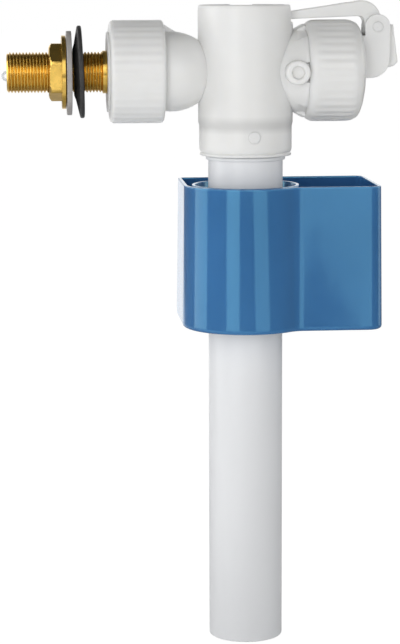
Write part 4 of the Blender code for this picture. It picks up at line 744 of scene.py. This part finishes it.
FLOAT_TOP = -46.8
FLOAT_BOTTOM = -106.5
LOBE_RADIUS = 26.6
FRONT_WALL = 18.2
RIGHT_WALL = 55.9
BACK_WALL = 35.2
blue, tree, shader = new_material("float_blue", (0.045, 0.158, 0.375), 0.1)
mottle(tree, shader, noise(tree, 25, 3), (0.041, 0.146, 0.35), (0.049, 0.17, 0.40))
tree.links.new(spread(tree, noise(tree, 90, 3), 0.07, 0.13), shader.inputs["Roughness"])
relief(tree, shader, noise(tree, 60, 2), 0.04)
shader.inputs["Specular IOR Level"].default_value = 1.0
shader.inputs["Specular Tint"].default_value = (0.32, 0.82, 1.0, 1)
shader.inputs["Subsurface Weight"].default_value = 0.3
shader.inputs["Subsurface Radius"].default_value = (1.0, 1.0, 1.0)
shader.inputs["Subsurface Scale"].default_value = 0.003


def cup_plan(grow):
    """The cup's outline about the pipe, grown outwards: the lobe, the hollow that joins it to
    the front wall, and three rounded corners, each an arc with its own number of points. The
    straight walls between them are cut into equal steps, p + (q - p) k / (n + 1)."""
    lobe, front, blend = LOBE_RADIUS + grow, FRONT_WALL + grow, 8.0 - grow
    right, back = RIGHT_WALL + grow, BACK_WALL + grow
    reach = math.sqrt((lobe + blend) ** 2 - (front + blend) ** 2)
    meet = math.degrees(math.atan2(front + blend, reach))
    front_corner, back_corner, left_corner = 6.5 + grow, 5.5 + grow, 2.4 + grow / 2
    bends = [
        (arc((0, 0), lobe, 180, 360 - meet, 60), 0),
        (arc((reach, -front - blend), blend, 180 - meet, 90, 16)[1:], 6),
        (arc((right - front_corner, front_corner - front), front_corner, -90, 0, 16), 12),
        (arc((right - back_corner, back - back_corner), back_corner, 0, 90, 14), 30),
        (arc((left_corner - lobe, back - left_corner), left_corner, 90, 180, 8), 16),
    ]
    plan = []
    for number, (bend, steps) in enumerate(bends):
        following = bends[(number + 1) % len(bends)][0][0]
        plan += [bend, np.linspace(bend[-1], following, steps + 2)[1:-1]]
    return np.concatenate(plan)


# Rows of (growth, height) go up the outside, over the rim and down inside, and rows of
# (radius, height) go up the tube and down its bore.
cup_rows = [
    (-1.6, FLOAT_BOTTOM), (-1.0, FLOAT_BOTTOM + 0.08), (-0.45, FLOAT_BOTTOM + 0.4),
    (-0.1, FLOAT_BOTTOM + 0.9), (0, FLOAT_BOTTOM + 1.6), (0, FLOAT_BOTTOM + 1.9),
    (-0.8, FLOAT_TOP - 0.7), (-0.8, FLOAT_TOP - 0.4), (-0.9, FLOAT_TOP - 0.1),
    (-1.15, FLOAT_TOP), (-1.95, FLOAT_TOP), (-2.2, FLOAT_TOP - 0.1), (-2.3, FLOAT_TOP - 0.4),
    (-2.3, FLOAT_TOP - 0.7), (-1.6, FLOAT_BOTTOM + 3.3), (-1.6, FLOAT_BOTTOM + 3),
    (-1.9, FLOAT_BOTTOM + 2.1), (-2.6, FLOAT_BOTTOM + 1.8),
]
tube_rows = [
    (TUBE_RADIUS + 0.3, FLOAT_BOTTOM + 1.8), (TUBE_RADIUS, FLOAT_BOTTOM + 2.1),
    (TUBE_RADIUS, FLOAT_TOP - 0.4), (TUBE_RADIUS - 0.15, FLOAT_TOP - 0.08),
    (TUBE_RADIUS - 0.4, FLOAT_TOP), (TUBE_BORE + 0.4, FLOAT_TOP),
    (TUBE_BORE + 0.15, FLOAT_TOP - 0.08), (TUBE_BORE, FLOAT_TOP - 0.4),
    (TUBE_BORE, FLOAT_BOTTOM + 0.3), (TUBE_BORE + 0.3, FLOAT_BOTTOM),
]
plans = [(cup_plan(grow), height) for grow, height in cup_rows]
spoke = cup_plan(0.0)
spoke /= np.linalg.norm(spoke, axis=1, keepdims=True)
plans += [(spoke * radius, height) for radius, height in tube_rows]
cup_points = np.stack([np.insert(plan, 2, height, axis=1) for plan, height in plans])
cup = surface("float_cup", cup_points + (BODY_X, 0, 0), blue, sharp=30)
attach(cup, "float")
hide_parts("float")


# The stage: a white floor under the pipe's end, and soft lamps. The floor shows the camera
# plain white with a trace of shadow, and mirrors the same white where it lies straight behind.

FLOOR_LEVEL = -0.2406
LAMP_FOOT = -0.238
PHOTO_WIDTH = 400
FOCAL_PIXELS = 2100
LOOK_DOWN = 9.1
LOOK_LEFT = 4.7
CAMERA_ROLL = 0.22
floor_mesh = bpy.data.meshes.new("floor")
floor_corners = [(x, y, FLOOR_LEVEL) for x, y in ((-6, -3), (6, -3), (6, 12), (-6, 12))]
floor_mesh.from_pydata(floor_corners, [], [(0, 1, 2, 3)])
floor = bpy.data.objects.new("floor", floor_mesh)
bpy.context.scene.collection.objects.link(floor)


def worked(tree, operation, *values):
    """The result of a math node on one or two numbers or outputs."""
    node = tree.nodes.new("ShaderNodeMath")
    node.operation = operation
    for number, value in enumerate(values):
        feed(tree, node.inputs[number], value)
    return node.outputs[0]


paper, tree, shader = new_material("white_paper", (0.8, 0.8, 0.8), 0.9)
glow = tree.nodes.new("ShaderNodeEmission")
glow.inputs["Strength"].default_value = 1.2
mix = tree.nodes.new("ShaderNodeMixShader")
path = tree.nodes.new("ShaderNodeLightPath")
place = coordinates(tree, "Object")
behind = spread(tree, place["Y"], 0, 1, (0.2, 0.7))
straight = spread(tree, worked(tree, "ABSOLUTE", place["X"]), 1, 0, (0.25, 0.45))
mirrored = worked(tree, "MULTIPLY", worked(tree, "MULTIPLY", straight, behind),
                  path.outputs["Is Glossy Ray"])
shown = worked(tree, "MULTIPLY", path.outputs["Is Camera Ray"], 0.8)
tree.links.new(worked(tree, "MAXIMUM", shown, mirrored), mix.inputs["Fac"])
tree.links.new(shader.outputs["BSDF"], mix.inputs[1])
tree.links.new(glow.outputs["Emission"], mix.inputs[2])
tree.links.new(mix.outputs["Shader"], tree.nodes["Material Output"].inputs["Surface"])
floor_mesh.materials.append(paper)

# The sky is white for the camera, and pale round the horizon and dark overhead for the object.
world = bpy.data.worlds.new("studio")
world.use_nodes = True
bpy.context.scene.world = world
tree = world.node_tree
sky = tree.nodes["Background"]
sky.inputs["Color"].default_value = (1, 1, 1, 1)
path = tree.nodes.new("ShaderNodeLightPath")
glossy = path.outputs["Is Glossy Ray"]
low_level = spread(tree, glossy, 0.72, 1.35, (0, 1))
top_level = spread(tree, glossy, 0.14, 0.08, (0, 1))
overhead = spread(tree, coordinates(tree, "Generated")["Z"], low_level, top_level, (0.1, 0.7))
overhead.node.interpolation_type = "SMOOTHSTEP"
strength = spread(tree, path.outputs["Is Camera Ray"], overhead, 1.0, (0, 1))
tree.links.new(strength, sky.inputs["Strength"])


def lamp(name, turn, away, width, height, level, lean=0.0, tip=90.0, sunk=0.0):
    """A soft box with its foot on the floor, turned degrees round the pipe from the front and
    away from it in metres. It faces the pipe, tips from lying face down (0) to face up (180),
    leans sideways and may be sunk in the floor. Level is its radiance, so its power is
    level * pi * width * height."""
    data = bpy.data.lights.new(name, "AREA")
    data.shape = "RECTANGLE"
    data.size = width
    data.size_y = height
    data.energy = level * math.pi * width * height
    unit = bpy.data.objects.new(name, data)
    turn = math.radians(turn)
    foot = Vector((BODY_X / 1000 + away * math.sin(turn), -away * math.cos(turn), LAMP_FOOT))
    stand = (Euler((math.radians(tip), 0, turn)).to_matrix()
             @ Matrix.Rotation(math.radians(lean), 3, "Z"))
    unit.location = foot + stand @ Vector((0, height / 2 - sunk, 0))
    unit.rotation_euler = stand.to_euler()
    unit.visible_camera = False
    bpy.context.scene.collection.objects.link(unit)


lamp("key_lamp", -28, 0.75, 0.31, 1.0, 1.9)
lamp("right_lamp", 27, 0.66, 0.27, 1.1, 1.25, lean=28, sunk=0.1)
lamp("left_lamp", -95, 0.7, 0.4, 1.0, 1.7)
lamp("rim_lamp", 105, 0.7, 0.3, 1.0, 0.9)
lamp("low_lamp", -6, 0.56, 0.3, 0.2, 1.6, tip=180)
lamp("table_lamp", -35, 0.1, 0.8, 0.45, 0.45, tip=180)

camera_data = bpy.data.cameras.new("camera")
camera_data.sensor_fit = "HORIZONTAL"
camera_data.sensor_width = 36
camera_data.lens = FOCAL_PIXELS * 36 / PHOTO_WIDTH
camera = bpy.data.objects.new("camera", camera_data)
camera.location = (-0.0189, -0.8685, 0.0349)
view = Euler((math.radians(90 - LOOK_DOWN), 0, math.radians(-LOOK_LEFT))).to_matrix()
roll = Matrix.Rotation(math.radians(-CAMERA_ROLL), 3, "Z")
camera.rotation_euler = (view @ roll).to_euler()
bpy.context.scene.collection.objects.link(camera)
bpy.context.scene.camera = camera
bpy.context.scene.view_settings.view_transform = "Standard"
